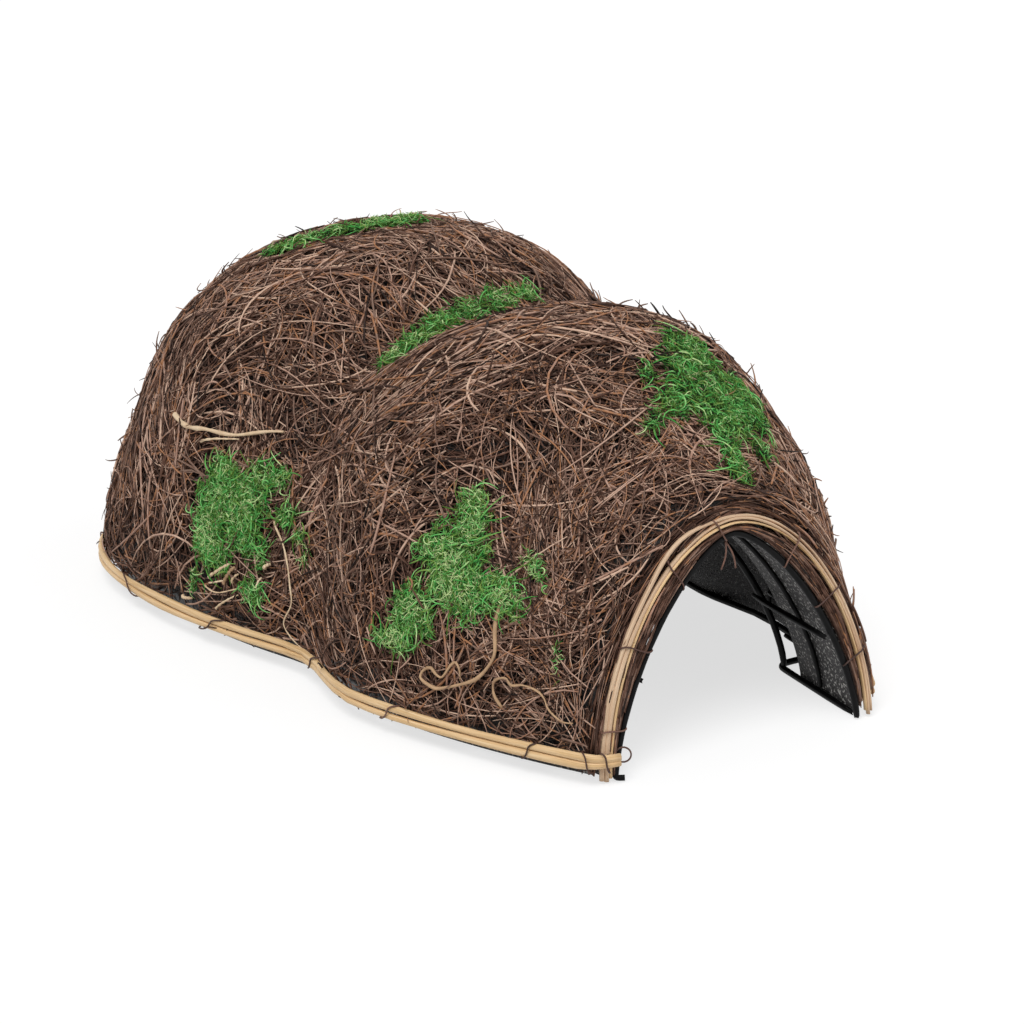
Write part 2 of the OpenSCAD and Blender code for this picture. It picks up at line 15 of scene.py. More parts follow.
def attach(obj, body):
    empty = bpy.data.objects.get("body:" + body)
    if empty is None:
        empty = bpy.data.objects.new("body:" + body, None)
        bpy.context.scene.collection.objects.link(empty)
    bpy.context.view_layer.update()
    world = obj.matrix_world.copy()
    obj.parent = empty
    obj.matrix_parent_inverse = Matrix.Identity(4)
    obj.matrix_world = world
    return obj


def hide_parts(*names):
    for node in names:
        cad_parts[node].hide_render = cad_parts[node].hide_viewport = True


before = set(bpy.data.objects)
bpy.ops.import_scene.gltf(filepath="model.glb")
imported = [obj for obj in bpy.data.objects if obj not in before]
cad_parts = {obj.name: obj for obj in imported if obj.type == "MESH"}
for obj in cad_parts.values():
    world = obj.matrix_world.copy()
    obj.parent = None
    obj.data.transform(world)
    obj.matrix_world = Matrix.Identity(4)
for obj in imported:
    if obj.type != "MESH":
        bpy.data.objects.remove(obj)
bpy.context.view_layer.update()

LOG = logging.getLogger("hedgehog_house")
MM = 0.001
BODY = "root"
# The foremost point of the house, from which places on it are counted, in millimetres
ENTRANCE = -240.0
UP = np.array([0.0, 0.0, 1.0])

Array = np.ndarray
Place = Callable[[Array, Array], Array]
Stops = tuple[tuple[float, str], ...]


class Slot(Enum):
    """Material slots, passed along with each piece."""

    WIRE = "wire"
    LINER = "liner"
    THATCH = "thatch"
    TWIG = "twig"
    MOSS = "moss"
    CANE = "cane"
    TIE = "tie"


class Sides(Enum):
    """How round a strand is: the bevel resolution that gives its number of sides."""

    FOUR = 0
    SIX = 1
    EIGHT = 2

    @property
    def count(self) -> int:
        """Number of sides of the strand."""
        return 4 + 2 * self.value


def linear(colour: str) -> tuple[float, float, float, float]:
    """Turns a colour into the values that shaders use.

    Args:
        colour: sRGB hex value such as "#a0b1c2".

    Returns:
        Linear red, green, blue and alpha.
    """
    parts = [int(colour[i:i + 2], 16) / 255 for i in (1, 3, 5)]
    bend = [v / 12.92 if v <= 0.04045 else ((v + 0.055) / 1.055) ** 2.4 for v in parts]
    return (bend[0], bend[1], bend[2], 1.0)


def add_node(tree: bpy.types.NodeTree, kind: str, inputs: dict | None = None, stops: Stops = (),
             **settings: object) -> bpy.types.Node:
    """Adds a shader node with its settings and links.

    Args:
        tree: Node tree of the material.
        kind: Blender's name of the node's type.
        inputs: Values, or sockets to link, by the name or number of the input.
        stops: Places and hex colours, where the node is a colour ramp.
        settings: Properties of the node.

    Returns:
        The new node.
    """
    node = tree.nodes.new(kind)
    for key, value in settings.items():
        setattr(node, key, value)
    for key, value in (inputs or {}).items():
        if isinstance(value, bpy.types.NodeSocket):
            tree.links.new(value, node.inputs[key])
        else:
            node.inputs[key].default_value = value
    for index, (place, colour) in enumerate(stops):
        elements = node.color_ramp.elements
        element = elements[index] if index < 2 else elements.new(place)
        element.position = place
        element.color = linear(colour)
    return node


def new_material(name: str) -> tuple[bpy.types.Material, bpy.types.NodeTree]:
    """Makes an empty node material.

    Args:
        name: Name of the material.

    Returns:
        The material and its node tree.
    """
    material = bpy.data.materials.new(name)
    material.use_nodes = True
    material.node_tree.nodes.clear()
    return material, material.node_tree


def per_metre(size_mm: float) -> float:
    """Texture scale at which a pattern repeats about every size_mm on Object coordinates."""
    return 1.0 / (size_mm * MM)


def seen_rays(tree: bpy.types.NodeTree) -> bpy.types.NodeSocket:
    """Socket that is 1 for what the camera sees, also in a mirror or through glass, and 0 for other light."""
    path = add_node(tree, "ShaderNodeLightPath")
    mirrored = add_node(tree, "ShaderNodeMath", {
        0: path.outputs["Is Glossy Ray"], 1: path.outputs["Is Transmission Ray"]}, operation="MAXIMUM")
    seen = add_node(tree, "ShaderNodeMath", {
        0: path.outputs["Is Camera Ray"], 1: mirrored.outputs[0]}, operation="MAXIMUM")
    return seen.outputs[0]


@dataclass(frozen=True, kw_only=True)
class Finish:
    """What the finishes of the house share: the stops of their colours, relief, roughness and shine."""

    name: str
    stops: Stops
    roughness: float
    relief_mm: float
    relief_strength: float = 1.0
    specular: float = 0.3

    def close(self, tree: bpy.types.NodeTree, colour: bpy.types.NodeSocket,
              height: bpy.types.NodeSocket) -> None:
        """Adds the relief, the shader and the output that end a finish.

        Args:
            tree: Node tree of the material.
            colour: Socket that gives the colour.
            height: Socket that gives the relief.
        """
        bump = add_node(tree, "ShaderNodeBump", {
            "Height": height, "Strength": self.relief_strength, "Distance": self.relief_mm * MM})
        shader = add_node(tree, "ShaderNodeBsdfPrincipled", {
            "Base Color": colour, "Roughness": self.roughness, "Specular IOR Level": self.specular,
            "Normal": bump.outputs["Normal"]})
        add_node(tree, "ShaderNodeOutputMaterial", {"Surface": shader.outputs["BSDF"]})


@dataclass(frozen=True, kw_only=True)
class StrandFinish(Finish):
    """Finish of thin strands: each strand has its own tone, broken up by flecks along it."""

    fleck_mm: float
    fleck_share: float
    relief_strength: float = 0.6

    def build(self) -> bpy.types.Material:
        """Makes the material."""
        material, tree = new_material(self.name)
        where = add_node(tree, "ShaderNodeTexCoord")
        tone = add_node(tree, "ShaderNodeAttribute", attribute_name="tone")
        flecks = add_node(tree, "ShaderNodeTexNoise", {
            "Vector": where.outputs["Object"], "Scale": per_metre(self.fleck_mm), "Detail": 3.0})
        swing = add_node(tree, "ShaderNodeMath", {
            0: flecks.outputs["Fac"], 1: self.fleck_share, 2: -self.fleck_share / 2},
            operation="MULTIPLY_ADD")
        mixed = add_node(tree, "ShaderNodeMath", {
            0: tone.outputs["Fac"], 1: swing.outputs[0]}, operation="ADD", use_clamp=True)
        ramp = add_node(tree, "ShaderNodeValToRGB", {"Fac": mixed.outputs[0]}, self.stops)
        self.close(tree, ramp.outputs["Color"], flecks.outputs["Fac"])
        return material


@dataclass(frozen=True, kw_only=True)
class BedFinish(Finish):
    """Finish of the film under the twigs: black plastic, crumpled, with glints and specks of dust; its
    near-black colour is also painted shade for the deep gaps between the twigs.
    """

    name: str = "black_film_and_gap_shade"
    # The near-black stops are the real film's colour and also painted shade for the deep gaps between the
    # twigs.
    stops: Stops = ((0.35, "#070606"), (0.6, "#171413"), (0.85, "#3a332f"))
    crumple_mm: float = 7.0
    dust_mm: float = 2.0
    relief_mm: float = 2.5
    roughness: float = 0.32

    def build(self) -> bpy.types.Material:
        """Makes the material."""
        material, tree = new_material(self.name)
        where = add_node(tree, "ShaderNodeTexCoord").outputs["Object"]
        crumples = add_node(tree, "ShaderNodeTexNoise", {
            "Vector": where, "Scale": per_metre(self.crumple_mm), "Detail": 4.0, "Distortion": 1.0})
        dust = add_node(tree, "ShaderNodeTexNoise", {
            "Vector": where, "Scale": per_metre(self.dust_mm), "Detail": 2.0})
        ramp = add_node(tree, "ShaderNodeValToRGB", {"Fac": dust.outputs["Fac"]}, self.stops)
        self.close(tree, ramp.outputs["Color"], crumples.outputs["Fac"])
        return material


@dataclass(frozen=True, kw_only=True)
class CaneFinish(Finish):
    """Finish of split cane: pale fibres run along the strip, with brown streaks and a satin skin."""

    fibre_mm: float = 0.7
    streak_mm: float = 45.0
    relief_mm: float = 0.7
    relief_strength: float = 0.5
    roughness: float = 0.48
    specular: float = 0.4

    def build(self) -> bpy.types.Material:
        """Makes the material."""
        material, tree = new_material(self.name)
        along = add_node(tree, "ShaderNodeAttribute", attribute_name="along")
        across = add_node(tree, "ShaderNodeAttribute", attribute_name="across")
        length = add_node(tree, "ShaderNodeMath", {
            0: along.outputs["Fac"], 1: 1.0 / self.streak_mm}, operation="MULTIPLY")
        width = add_node(tree, "ShaderNodeMath", {
            0: across.outputs["Fac"], 1: 1.0 / self.fibre_mm}, operation="MULTIPLY")
        grain = add_node(tree, "ShaderNodeCombineXYZ", {"X": length.outputs[0], "Y": width.outputs[0]})
        fibres = add_node(tree, "ShaderNodeTexNoise", {
            "Vector": grain.outputs["Vector"], "Scale": 1.0, "Detail": 4.0, "Roughness": 0.65})
        ramp = add_node(tree, "ShaderNodeValToRGB", {"Fac": fibres.outputs["Fac"]}, self.stops)
        self.close(tree, ramp.outputs["Color"], fibres.outputs["Fac"])
        return material


@dataclass(frozen=True, kw_only=True)
class LinerFinish(Finish):
    """Finish of black nonwoven polypropylene sheet: matted fibres with pale recycled specks."""

    name: str = "nonwoven_liner"
    stops: Stops = ((0.3, "#1f1e1f"), (0.6, "#3e3c3c"), (0.85, "#5c5856"))
    speck_stops: Stops = ((0.54, "#000000"), (0.6, "#6f6c69"), (0.69, "#fbf8f3"))
    blotch_mm: float = 14.0
    fibre_mm: float = 1.6
    speck_mm: float = 1.6
    speck_glow: float = 0.7
    relief_mm: float = 0.8
    relief_strength: float = 0.7
    roughness: float = 0.6
    specular: float = 0.35

    def build(self) -> bpy.types.Material:
        """Makes the material."""
        material, tree = new_material(self.name)
        where = add_node(tree, "ShaderNodeTexCoord").outputs["Object"]
        blotches = add_node(tree, "ShaderNodeTexNoise", {
            "Vector": where, "Scale": per_metre(self.blotch_mm), "Detail": 5.0})
        fibres = add_node(tree, "ShaderNodeTexNoise", {
            "Vector": where, "Scale": per_metre(self.fibre_mm), "Detail": 3.0, "Distortion": 2.0})
        specks = add_node(tree, "ShaderNodeTexNoise", {
            "Vector": where, "Scale": per_metre(self.speck_mm), "Detail": 1.0})
        cloth = add_node(tree, "ShaderNodeValToRGB", {"Fac": blotches.outputs["Fac"]}, self.stops)
        dots = add_node(tree, "ShaderNodeValToRGB", {"Fac": specks.outputs["Fac"]}, self.speck_stops)
        colour = add_node(tree, "ShaderNodeMix", {
            0: self.speck_glow, 6: cloth.outputs["Color"], 7: dots.outputs["Color"]},
            data_type="RGBA", blend_type="ADD")
        self.close(tree, colour.outputs[2], fibres.outputs["Fac"])
        return material


@dataclass(frozen=True, kw_only=True)
class PaintFinish(Finish):
    """Finish of black paint on drawn steel wire: semi-gloss, with slight runs and dull spots."""

    name: str = "black_wire_paint"
    stops: Stops = ((0.3, "#040404"), (0.7, "#0e0d0e"))
    run_mm: float = 6.0
    relief_mm: float = 0.5
    relief_strength: float = 0.3
    roughness: float = 0.45
    specular: float = 0.12

    def build(self) -> bpy.types.Material:
        """Makes the material."""
        material, tree = new_material(self.name)
        where = add_node(tree, "ShaderNodeTexCoord").outputs["Object"]
        runs = add_node(tree, "ShaderNodeTexNoise", {
            "Vector": where, "Scale": per_metre(self.run_mm), "Detail": 3.0})
        ramp = add_node(tree, "ShaderNodeValToRGB", {"Fac": runs.outputs["Fac"]}, self.stops)
        self.close(tree, ramp.outputs["Color"], runs.outputs["Fac"])
        return material


@dataclass(frozen=True)
class FloorFinish:
    """Finish of the studio floor: matt and pale, and to the camera nearly as white as the backdrop."""

    name: str = "studio_floor"
    albedo: float = 0.8
    seen_albedo: float = 0.34
    seen_glow: float = 0.7

    def build(self) -> bpy.types.Material:
        """Makes the material."""
        material, tree = new_material(self.name)
        seen = seen_rays(tree)
        glow = add_node(tree, "ShaderNodeMath", {0: seen, 1: self.seen_glow}, operation="MULTIPLY")
        shade = add_node(tree, "ShaderNodeMath", {
            0: seen, 1: self.seen_albedo - self.albedo, 2: self.albedo}, operation="MULTIPLY_ADD")
        matt = add_node(tree, "ShaderNodeBsdfDiffuse", {"Color": shade.outputs[0]})
        lamp = add_node(tree, "ShaderNodeEmission", {"Strength": glow.outputs[0]})
        both = add_node(tree, "ShaderNodeAddShader", {0: matt.outputs[0], 1: lamp.outputs[0]})
        add_node(tree, "ShaderNodeOutputMaterial", {"Surface": both.outputs[0]})
        return material


BARK = StrandFinish(
    # Dry roots and fine twigs: matt bark from near black over red-brown to a worn, pinkish grey; the
    # near-black end is also painted shade for the under twigs in the gaps.
    name="dry_root_bark",
    stops=((0.0, "#180b05"), (0.2, "#42281b"), (0.38, "#6c4d3e"), (0.54, "#866c5e"), (0.63, "#a8744e"),
           (0.72, "#a5806e"), (0.85, "#bd9b88"), (1.0, "#d8b79f")),
    fleck_mm=5.0, fleck_share=0.45, roughness=0.66, relief_mm=0.5)
PALE_BARK = StrandFinish(
    # Split stems with the bark off: straw-coloured wood with brown flecks.
    name="split_stem", stops=((0.0, "#7a5a44"), (0.5, "#c2a07c"), (1.0, "#ecd5b4")),
    fleck_mm=6.0, fleck_share=0.7, roughness=0.6, relief_mm=0.4)
MOSS_GREEN = StrandFinish(
    # Dried and dyed sheet moss: matt, vivid green fronds with olive tints and pale tips; the darkest stops
    # also serve as painted shade on low fronds, the palest as painted light on fronds that stand out.
    name="dyed_moss",
    stops=((0.0, "#0e1f06"), (0.2, "#2a5e20"), (0.34, "#577428"), (0.5, "#3f9c46"), (0.64, "#80994a"),
           (0.78, "#62bf63"), (1.0, "#cfe0a0")),
    fleck_mm=4.0, fleck_share=0.45, roughness=0.85, relief_mm=0.3)
TIE_WIRE = StrandFinish(
    # Thin annealed binding wire: brown oxide with a dull shine.
    name="binding_wire", stops=((0.0, "#2a1b17"), (0.6, "#573c33"), (1.0, "#7d5c4e")),
    fleck_mm=4.0, fleck_share=0.5, roughness=0.45, relief_mm=0.1)
BASE_CANE = CaneFinish(
    # Split cane with its skin on: golden, with long brown streaks between the fibres.
    name="base_split_cane",
    stops=((0.25, "#96714a"), (0.4, "#d3ae7c"), (0.58, "#e6c598"), (0.8, "#f6e2bd")))
ARCH_CANE = CaneFinish(
    # Older split cane: greyed and pinkish, with dark splits.
    name="arch_split_cane",
    stops=((0.22, "#76553f"), (0.36, "#bb997b"), (0.58, "#dabc9c"), (0.8, "#f3dfc6")))


def lobe(y: Array, middle: float, runs: tuple[float, float], powers: tuple[float, float]) -> Array:
    """Share of a dome's full size at each y.

    Args:
        y: Distances along the house.
        middle: Where the dome is full size.
        runs: How far it reaches before and behind the middle.
        powers: Powers of its outline before and behind the middle.

    Returns:
        Shares, from 1 in the middle to 0 where each run ends.
    """
    before = y < middle
    t = np.clip(np.where(before, (middle - y) / runs[0], (y - middle) / runs[1]), 0.0, 1.0)
    power = np.where(before, powers[0], powers[1])
    return (1.0 - t ** power) ** (1.0 / power)


def lead(size: float, start: float, run: float, power: float) -> float:
    """Full run of a dome that begins at the size start, the length run before its middle."""
    return run / (1.0 - (start / size) ** power) ** (1.0 / power)


def signed_power(value: Array, power: Array | float) -> Array:
    """Power of a value that keeps its sign."""
    return np.sign(value) * np.abs(value) ** power


def unit(vectors: Array) -> Array:
    """Vectors of length 1 in the same directions."""
    return vectors / np.linalg.norm(vectors, axis=-1, keepdims=True)


@dataclass(frozen=True)
class Bulge:
    """A place where the thatch stands out, or sinks in where the height is below 0.

    The place is a distance along the house and an angle over the arch, and the spread is in the same units.
    """

    y: float
    angle: float
    y_spread: float
    angle_spread: float
    height: float


@dataclass(frozen=True, kw_only=True)
class Profile:
    """How the half width or the height of the two domes runs along the house, in millimetres."""

    front_size: float
    rear_size: float
    mouth_size: float
    front_middle: float
    rear_middle: float
    front_run: float
    rear_run: float
    front_power: float
    back_power: float
    crease: float = 10.0

    def at(self, y: Array, ends: tuple[float, float], depth: float) -> Array:
        """Size of the skin.

        Args:
            y: Distances along the house.
            ends: Where the mat begins and ends.
            depth: Depth below the mat's face.

        Returns:
            A size for each y.
        """
        size = self.front_size - depth
        run = lead(size, self.mouth_size - depth, self.front_middle - ends[0], self.front_power)
        front = size * lobe(y, self.front_middle, (run, self.front_run), (self.front_power, 2.0))
        runs = (self.rear_run, ends[1] - depth - self.rear_middle)
        rear = (self.rear_size - depth) * lobe(y, self.rear_middle, runs, (2.0, self.back_power))
        return (front ** self.crease + rear ** self.crease) ** (1.0 / self.crease)


@dataclass(frozen=True)
class HouseForm:
    """The two-dome skin that the layers follow, in millimetres, as the solids have it.

    A place is a distance y along the house and an angle over the arch, in degrees from the
    right foot over the top to the left foot.
    """

    front: float = -236.7
    back: float = 234.9
    saddle: float = -2.0
    plan: Profile = Profile(
        front_size=139.0, rear_size=154.9, mouth_size=88.9, front_middle=-100.0, rear_middle=105.0,
        front_run=110.0, rear_run=245.0, front_power=1.35, back_power=2.5)
    ridge: Profile = Profile(
        front_size=190.0, rear_size=203.0, mouth_size=124.9, front_middle=-105.0, rear_middle=60.0,
        front_run=190.0, rear_run=95.0, front_power=1.45, back_power=2.6)
    arch_power: float = 1.82
    dome_power: float = 2.2
    lean_degrees: float = 5.0
    lean_run: float = 122.0
    right_pull: float = 6.5
    right_pull_run: float = 34.0
    halvings: int = 30
    bulges: tuple[Bulge, ...] = ()

    def foot(self, y: Array, out: Array | float, side: Array | float) -> Array:
        """Distance of the foot from the middle, where the right foot is drawn in at the entrance.

        Args:
            y: Distances along the house.
            out: Offset outside the mat.
            side: 1 for the right side and -1 for the left.

        Returns:
            Values of x, with their sign.
        """
        pull = self.right_pull * np.exp(-((y - self.front) / self.right_pull_run) ** 2)
        return (self.half_width(y) + out) * side - pull * (np.asarray(side) > 0)

    def half_width(self, y: Array, depth: float = 0.0) -> Array:
        """Half width of the skin at y, at a depth below the mat's face."""
        return self.plan.at(y, (self.front, self.back), depth)

    def height(self, y: Array, depth: float = 0.0) -> Array:
        """Height of the skin at y, at a depth below the mat's face."""
        return self.ridge.at(y, (self.front, self.back), depth)

    def fade(self, y: Array) -> Array:
        """Share of the way from the shape of the arch to that of the domes at y."""
        return np.clip((y - self.front) / self.lean_run, 0.0, 1.0)

    def power(self, y: Array) -> Array:
        """Power of the cross-section at y."""
        return self.arch_power + (self.dome_power - self.arch_power) * self.fade(y)

    def skin(self, y: Array, angle: Array, depth: float = 0.0) -> Array:
        """Points of the skin.

        Args:
            y: Distances along the house.
            angle: Angles over the arch.
            depth: Depth below the mat's outer face.

        Returns:
            Points, with x, y and z in the last axis.
        """
        y = np.asarray(y, float)
        turn = np.radians(angle)
        bend = 2.0 / self.power(y)
        x = self.half_width(y, depth) * signed_power(np.cos(turn), bend)
        z = self.height(y, depth) * np.abs(np.sin(turn)) ** bend
        lean = math.tan(math.radians(self.lean_degrees)) * (1.0 - self.fade(y))
        return np.stack([x, y + lean * z, z], axis=-1)

    def slopes(self, y: Array, angle: Array) -> tuple[Array, Array]:
        """Directions along the house and over the arch, per millimetre and per degree."""
        step = 0.5
        along = (self.skin(y + step, angle) - self.skin(y - step, angle)) / (2 * step)
        over = (self.skin(y, angle + step) - self.skin(y, angle - step)) / (2 * step)
        return along, over

    def lifted(self, y: Array, angle: Array, lift: Array | float) -> Array:
        """Points of the uneven thatch, lifted square to the skin."""
        along, over = self.slopes(y, angle)
        out = unit(np.cross(along, over))
        height = lift + sum(bulge.height * np.exp(
            -((y - bulge.y) / bulge.y_spread) ** 2 - ((angle - bulge.angle) / bulge.angle_spread) ** 2)
            for bulge in self.bulges)
        return self.skin(y, angle) + np.asarray(height)[..., None] * out

    def back_face(self, x: Array, z: Array) -> Array:
        """Distances along the house at which the back of the skin has the places x and z.

        Args:
            x: Places across the house.
            z: Heights.

        Returns:
            Values of y, found by halving.
        """
        near = np.full(x.shape, self.plan.rear_middle)
        far = np.full(x.shape, self.back)
        for _ in range(self.halvings):
            y = (near + far) / 2
            across = np.abs(x) / self.half_width(y)
            up = z / self.height(y)
            inside = across ** self.dome_power + up ** self.dome_power < 1.0
            near = np.where(inside, y, near)
            far = np.where(inside, far, y)
        return near

    def foot_angle(self, y: Array, z: float) -> Array:
        """Angle at which the right flank reaches the height z."""
        rise = np.clip(z / self.height(y), 0.0, 1.0) ** (self.power(y) / 2.0)
        return np.degrees(np.arcsin(rise))

    def angle_over(self, y: Array, share: Array, lowest: float) -> Array:
        """Angles for shares of the way over the arch, from the height lowest down to it again."""
        foot = self.foot_angle(y, lowest)
        return foot + (180.0 - 2.0 * foot) * share


@dataclass(frozen=True)
class TunnelForm:
    """The entrance tunnel, in millimetres, measured from the centre lines of its wire hoops.

    The power is that of its cross-section: 2 is an ellipse, and less has straighter legs.
    """

    power: float
    foot: float
    mouth: float = -238.25
    depth: float = 72.0
    half_width: float = 73.75
    height: float = 109.75
    flare: float = 9.0
    lean_degrees: float = 5.0

    def point(self, y: Array, angle: Array, out: Array | float) -> Array:
        """Points of the tunnel.

        Args:
            y: Distances along the house at the foot.
            angle: Angles over the arch, from the right foot.
            out: Offset outside the hoops' centre lines.

        Returns:
            Points, with x, y and z in the last axis.
        """
        y = np.asarray(y, float)
        turn = np.radians(angle)
        wide = self.half_width + self.flare * (y - self.mouth) / self.depth
        cos, sin = np.cos(turn), np.abs(np.sin(turn))
        bend = 2.0 / self.power
        facing_x = signed_power(cos, 2.0 - bend) / wide
        facing_z = sin ** (2.0 - bend) / self.height
        size = np.hypot(facing_x, facing_z)
        x = wide * signed_power(cos, bend) + out * facing_x / size
        z = self.foot + (self.height - self.foot) * sin ** bend + out * facing_z / size
        return np.stack([x, y + math.tan(math.radians(self.lean_degrees)) * z, z], axis=-1)


FORM = HouseForm(bulges=(
    Bulge(80.0, 105.0, 80.0, 26.0, -5.0),
    Bulge(165.0, 150.0, 40.0, 14.0, -5.5),
    Bulge(-150.0, 25.0, 60.0, 22.0, -2.5),
    Bulge(-175.0, 38.0, 28.0, 14.0, 4.0),
    Bulge(-216.0, 18.0, 34.0, 22.0, -5.0),
    Bulge(-232.0, 3.0, 30.0, 14.0, -3.0),
))
TUNNEL = TunnelForm(power=1.5, foot=3.8)
# The canes and the mouth of the mat bow out further than the hoop
ARCH = TunnelForm(power=1.82, foot=0.3)
# The sheet in the tunnel reaches down past the sills
SHEET = TunnelForm(power=1.5, foot=0.8)
# How far a walk over the skin may go, along the house and over the arch
WALK_SPAN = (FORM.front - 9.0, FORM.back - 0.6)
WALK_ANGLES = (0.6, 179.4)
# Least millimetres for a degree over the arch that a walk reckons with
LEAST_RISE = 0.2


def to_mesh(shape: bmesh.types.BMesh, name: str) -> bpy.types.Mesh:
    """Makes a mesh of a finished shape and frees the shape."""
    mesh = bpy.data.meshes.new(name)
    shape.to_mesh(mesh)
    shape.free()
    return mesh


def add_piece(name: str, mesh: bpy.types.Mesh, material: bpy.types.Material, slot: Slot,
              *nodes: str) -> bpy.types.Object:
    """Adds a finished mesh to the scene as a piece of the house.

    Args:
        name: Name of the piece.
        mesh: Its mesh, in the row frame, in metres.
        material: Its material.
        slot: The slot of the piece; not used.
        nodes: CAD nodes that it stands for.

    Returns:
        The new object.
    """
    piece = bpy.data.objects.new(name, mesh)
    bpy.context.scene.collection.objects.link(piece)
    mesh.materials.append(material)
    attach(piece, BODY)
    if nodes:
        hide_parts(*nodes)
    LOG.info("%s: %d faces", name, len(mesh.polygons))
    return piece


@dataclass
class Strands:
    """Strands of one kind: paths of equal point counts, a radius for each point, a tone for each strand."""

    paths: Array
    radii: Array
    tones: Array
    sides: Sides = Sides.FOUR

    def mesh(self, name: str) -> bpy.types.Mesh:
        """Sweeps the strands and closes their ends.

        Args:
            name: Name of the mesh.

        Returns:
            One mesh of all strands, with a tone on each point.
        """
        curve = bpy.data.curves.new(name, "CURVE")
        curve.dimensions = "3D"
        curve.bevel_depth = MM
        curve.bevel_resolution = self.sides.value
        count, points = self.paths.shape[:2]
        places = np.concatenate([self.paths * MM, np.ones((count, points, 1))], axis=2)
        for place, radius in zip(places, self.radii):
            spline = curve.splines.new("POLY")
            spline.points.add(points - 1)
            spline.points.foreach_set("co", place.ravel())
            spline.points.foreach_set("radius", radius)
        holder = bpy.data.objects.new(name, curve)
        mesh = bpy.data.meshes.new_from_object(holder)
        bpy.data.objects.remove(holder)
        bpy.data.curves.remove(curve)
        tone = mesh.attributes.new("tone", "FLOAT", "POINT")
        tone.data.foreach_set("value", np.repeat(self.tones, points * self.sides.count).astype(np.float32))
        shape = bmesh.new()
        shape.from_mesh(mesh)
        open_edges = [edge for edge in shape.edges if edge.is_boundary]
        bmesh.ops.holes_fill(shape, edges=open_edges, sides=self.sides.count)
        shape.to_mesh(mesh)
        shape.free()
        return mesh

    def add(self, name: str, material: bpy.types.Material, slot: Slot, *nodes: str) -> None:
        """Adds the strands to the scene as one piece."""
        add_piece(name, self.mesh(name), material, slot, *nodes)


def between(first: Array, last: Array, t: Array) -> Array:
    """Values on the way from first to last at the shares t, one row for each strand."""
    return first[:, None] * (1 - t) + last[:, None] * t


def taper(count: int, points: int, thick: Array, ends: tuple[float, float]) -> Array:
    """Radii of strands that thin out towards their ends.

    Args:
        count: Number of strands.
        points: Points of each strand.
        thick: Radius of each strand where it is thickest.
        ends: Shares of that radius at the first and the last point.

    Returns:
        A radius for each point of each strand.
    """
    first_power, last_power = 6, 2
    t = np.linspace(0.0, 1.0, points)
    profile = 1.0 - (1.0 - ends[0]) * (1.0 - t) ** first_power - (1.0 - ends[1]) * t ** last_power
    return np.broadcast_to(profile, (count, points)) * np.asarray(thick)[:, None]


def smooth(t: Array, knots: Array, values: Array) -> Array:
    """Values of a smooth curve through points.

    Args:
        t: Where the curve is wanted.
        knots: Where the points are.
        values: Values at the points.

    Returns:
        Values at t, from cubic pieces whose slopes come from the neighbouring points.
    """
    slope = np.gradient(values, knots)
    index = np.clip(np.searchsorted(knots, t) - 1, 0, len(knots) - 2)
    width = knots[index + 1] - knots[index]
    s = (t - knots[index]) / width
    start = (1 + 2 * s) * (1 - s) ** 2 * values[index] + s * (1 - s) ** 2 * width * slope[index]
    end = s ** 2 * (3 - 2 * s) * values[index + 1] + s ** 2 * (s - 1) * width * slope[index + 1]
    return start + end


def walk(y: Array, angle: Array, heading: Array, length: Array, bend: Array,
         points: int) -> tuple[Array, Array]:
    """Walks over the skin from many places at once.

    Args:
        y: Where each walk starts along the house.
        angle: Where each walk starts over the arch.
        heading: Direction of each walk, in radians from the house's length towards the left foot.
        length: Length of each walk in millimetres.
        bend: How far each walk turns in all, in radians.
        points: Points of each walk, the start among them.

    Returns:
        Places of the walks along the house and over the arch, one row for each walk.
    """
    ys, angles = [y], [angle]
    for index in range(points - 1):
        along, over = FORM.slopes(ys[-1], angles[-1])
        pace = np.linalg.norm(along, axis=-1)
        forward = along / pace[:, None]
        slip = np.sum(over * forward, axis=-1)
        rise = np.linalg.norm(over - slip[:, None] * forward, axis=-1)
        turn = heading + bend * index / (points - 1)
        step = length / (points - 1)
        climb = step * np.sin(turn) / np.maximum(rise, LEAST_RISE)
        onward = ys[-1] + (step * np.cos(turn) - climb * slip) / pace
        ys.append(np.clip(onward, *WALK_SPAN))
        angles.append(np.clip(angles[-1] + climb, *WALK_ANGLES))
    return np.stack(ys, axis=1), np.stack(angles, axis=1)


def scatter(rng: np.random.Generator, count: int, span: tuple[float, float]) -> tuple[Array, Array]:
    """Picks places spread evenly over the skin.

    Args:
        rng: Source of the random draws.
        count: Number of places.
        span: First and last distance along the house.

    Returns:
        Distances along the house and angles over the arch.
    """
    rows, columns = 120, 90
    low_angle, high_angle = 2.0, 178.0
    y_edges = np.linspace(span[0], span[1], rows + 1)
    a_edges = np.linspace(low_angle, high_angle, columns + 1)
    y_rows, a_columns = ((edges[1:] + edges[:-1]) / 2 for edges in (y_edges, a_edges))
    y_mid, a_mid = np.meshgrid(y_rows, a_columns, indexing="ij")
    along, over = FORM.slopes(y_mid, a_mid)
    area = np.linalg.norm(np.cross(along, over), axis=-1).ravel()
    cells = rng.choice(area.size, size=count, p=area / area.sum())
    y = y_mid.ravel()[cells] + rng.uniform(-0.5, 0.5, count) * (y_edges[1] - y_edges[0])
    angle = a_mid.ravel()[cells] + rng.uniform(-0.5, 0.5, count) * (a_edges[1] - a_edges[0])
    return y, angle


@dataclass(frozen=True)
class TwigLayer:
    """One layer of twigs: where it lies, how many there are, their sizes in millimetres and their tones."""

    name: str
    slot: Slot
    span: tuple[float, float]
    count: int
    length: tuple[float, float]
    radius: tuple[float, float]
    lift: tuple[float, float]
    tone: tuple[float, float]
    seed: int
    rise: float = 0.0
    nodes: tuple[str, ...] = ()


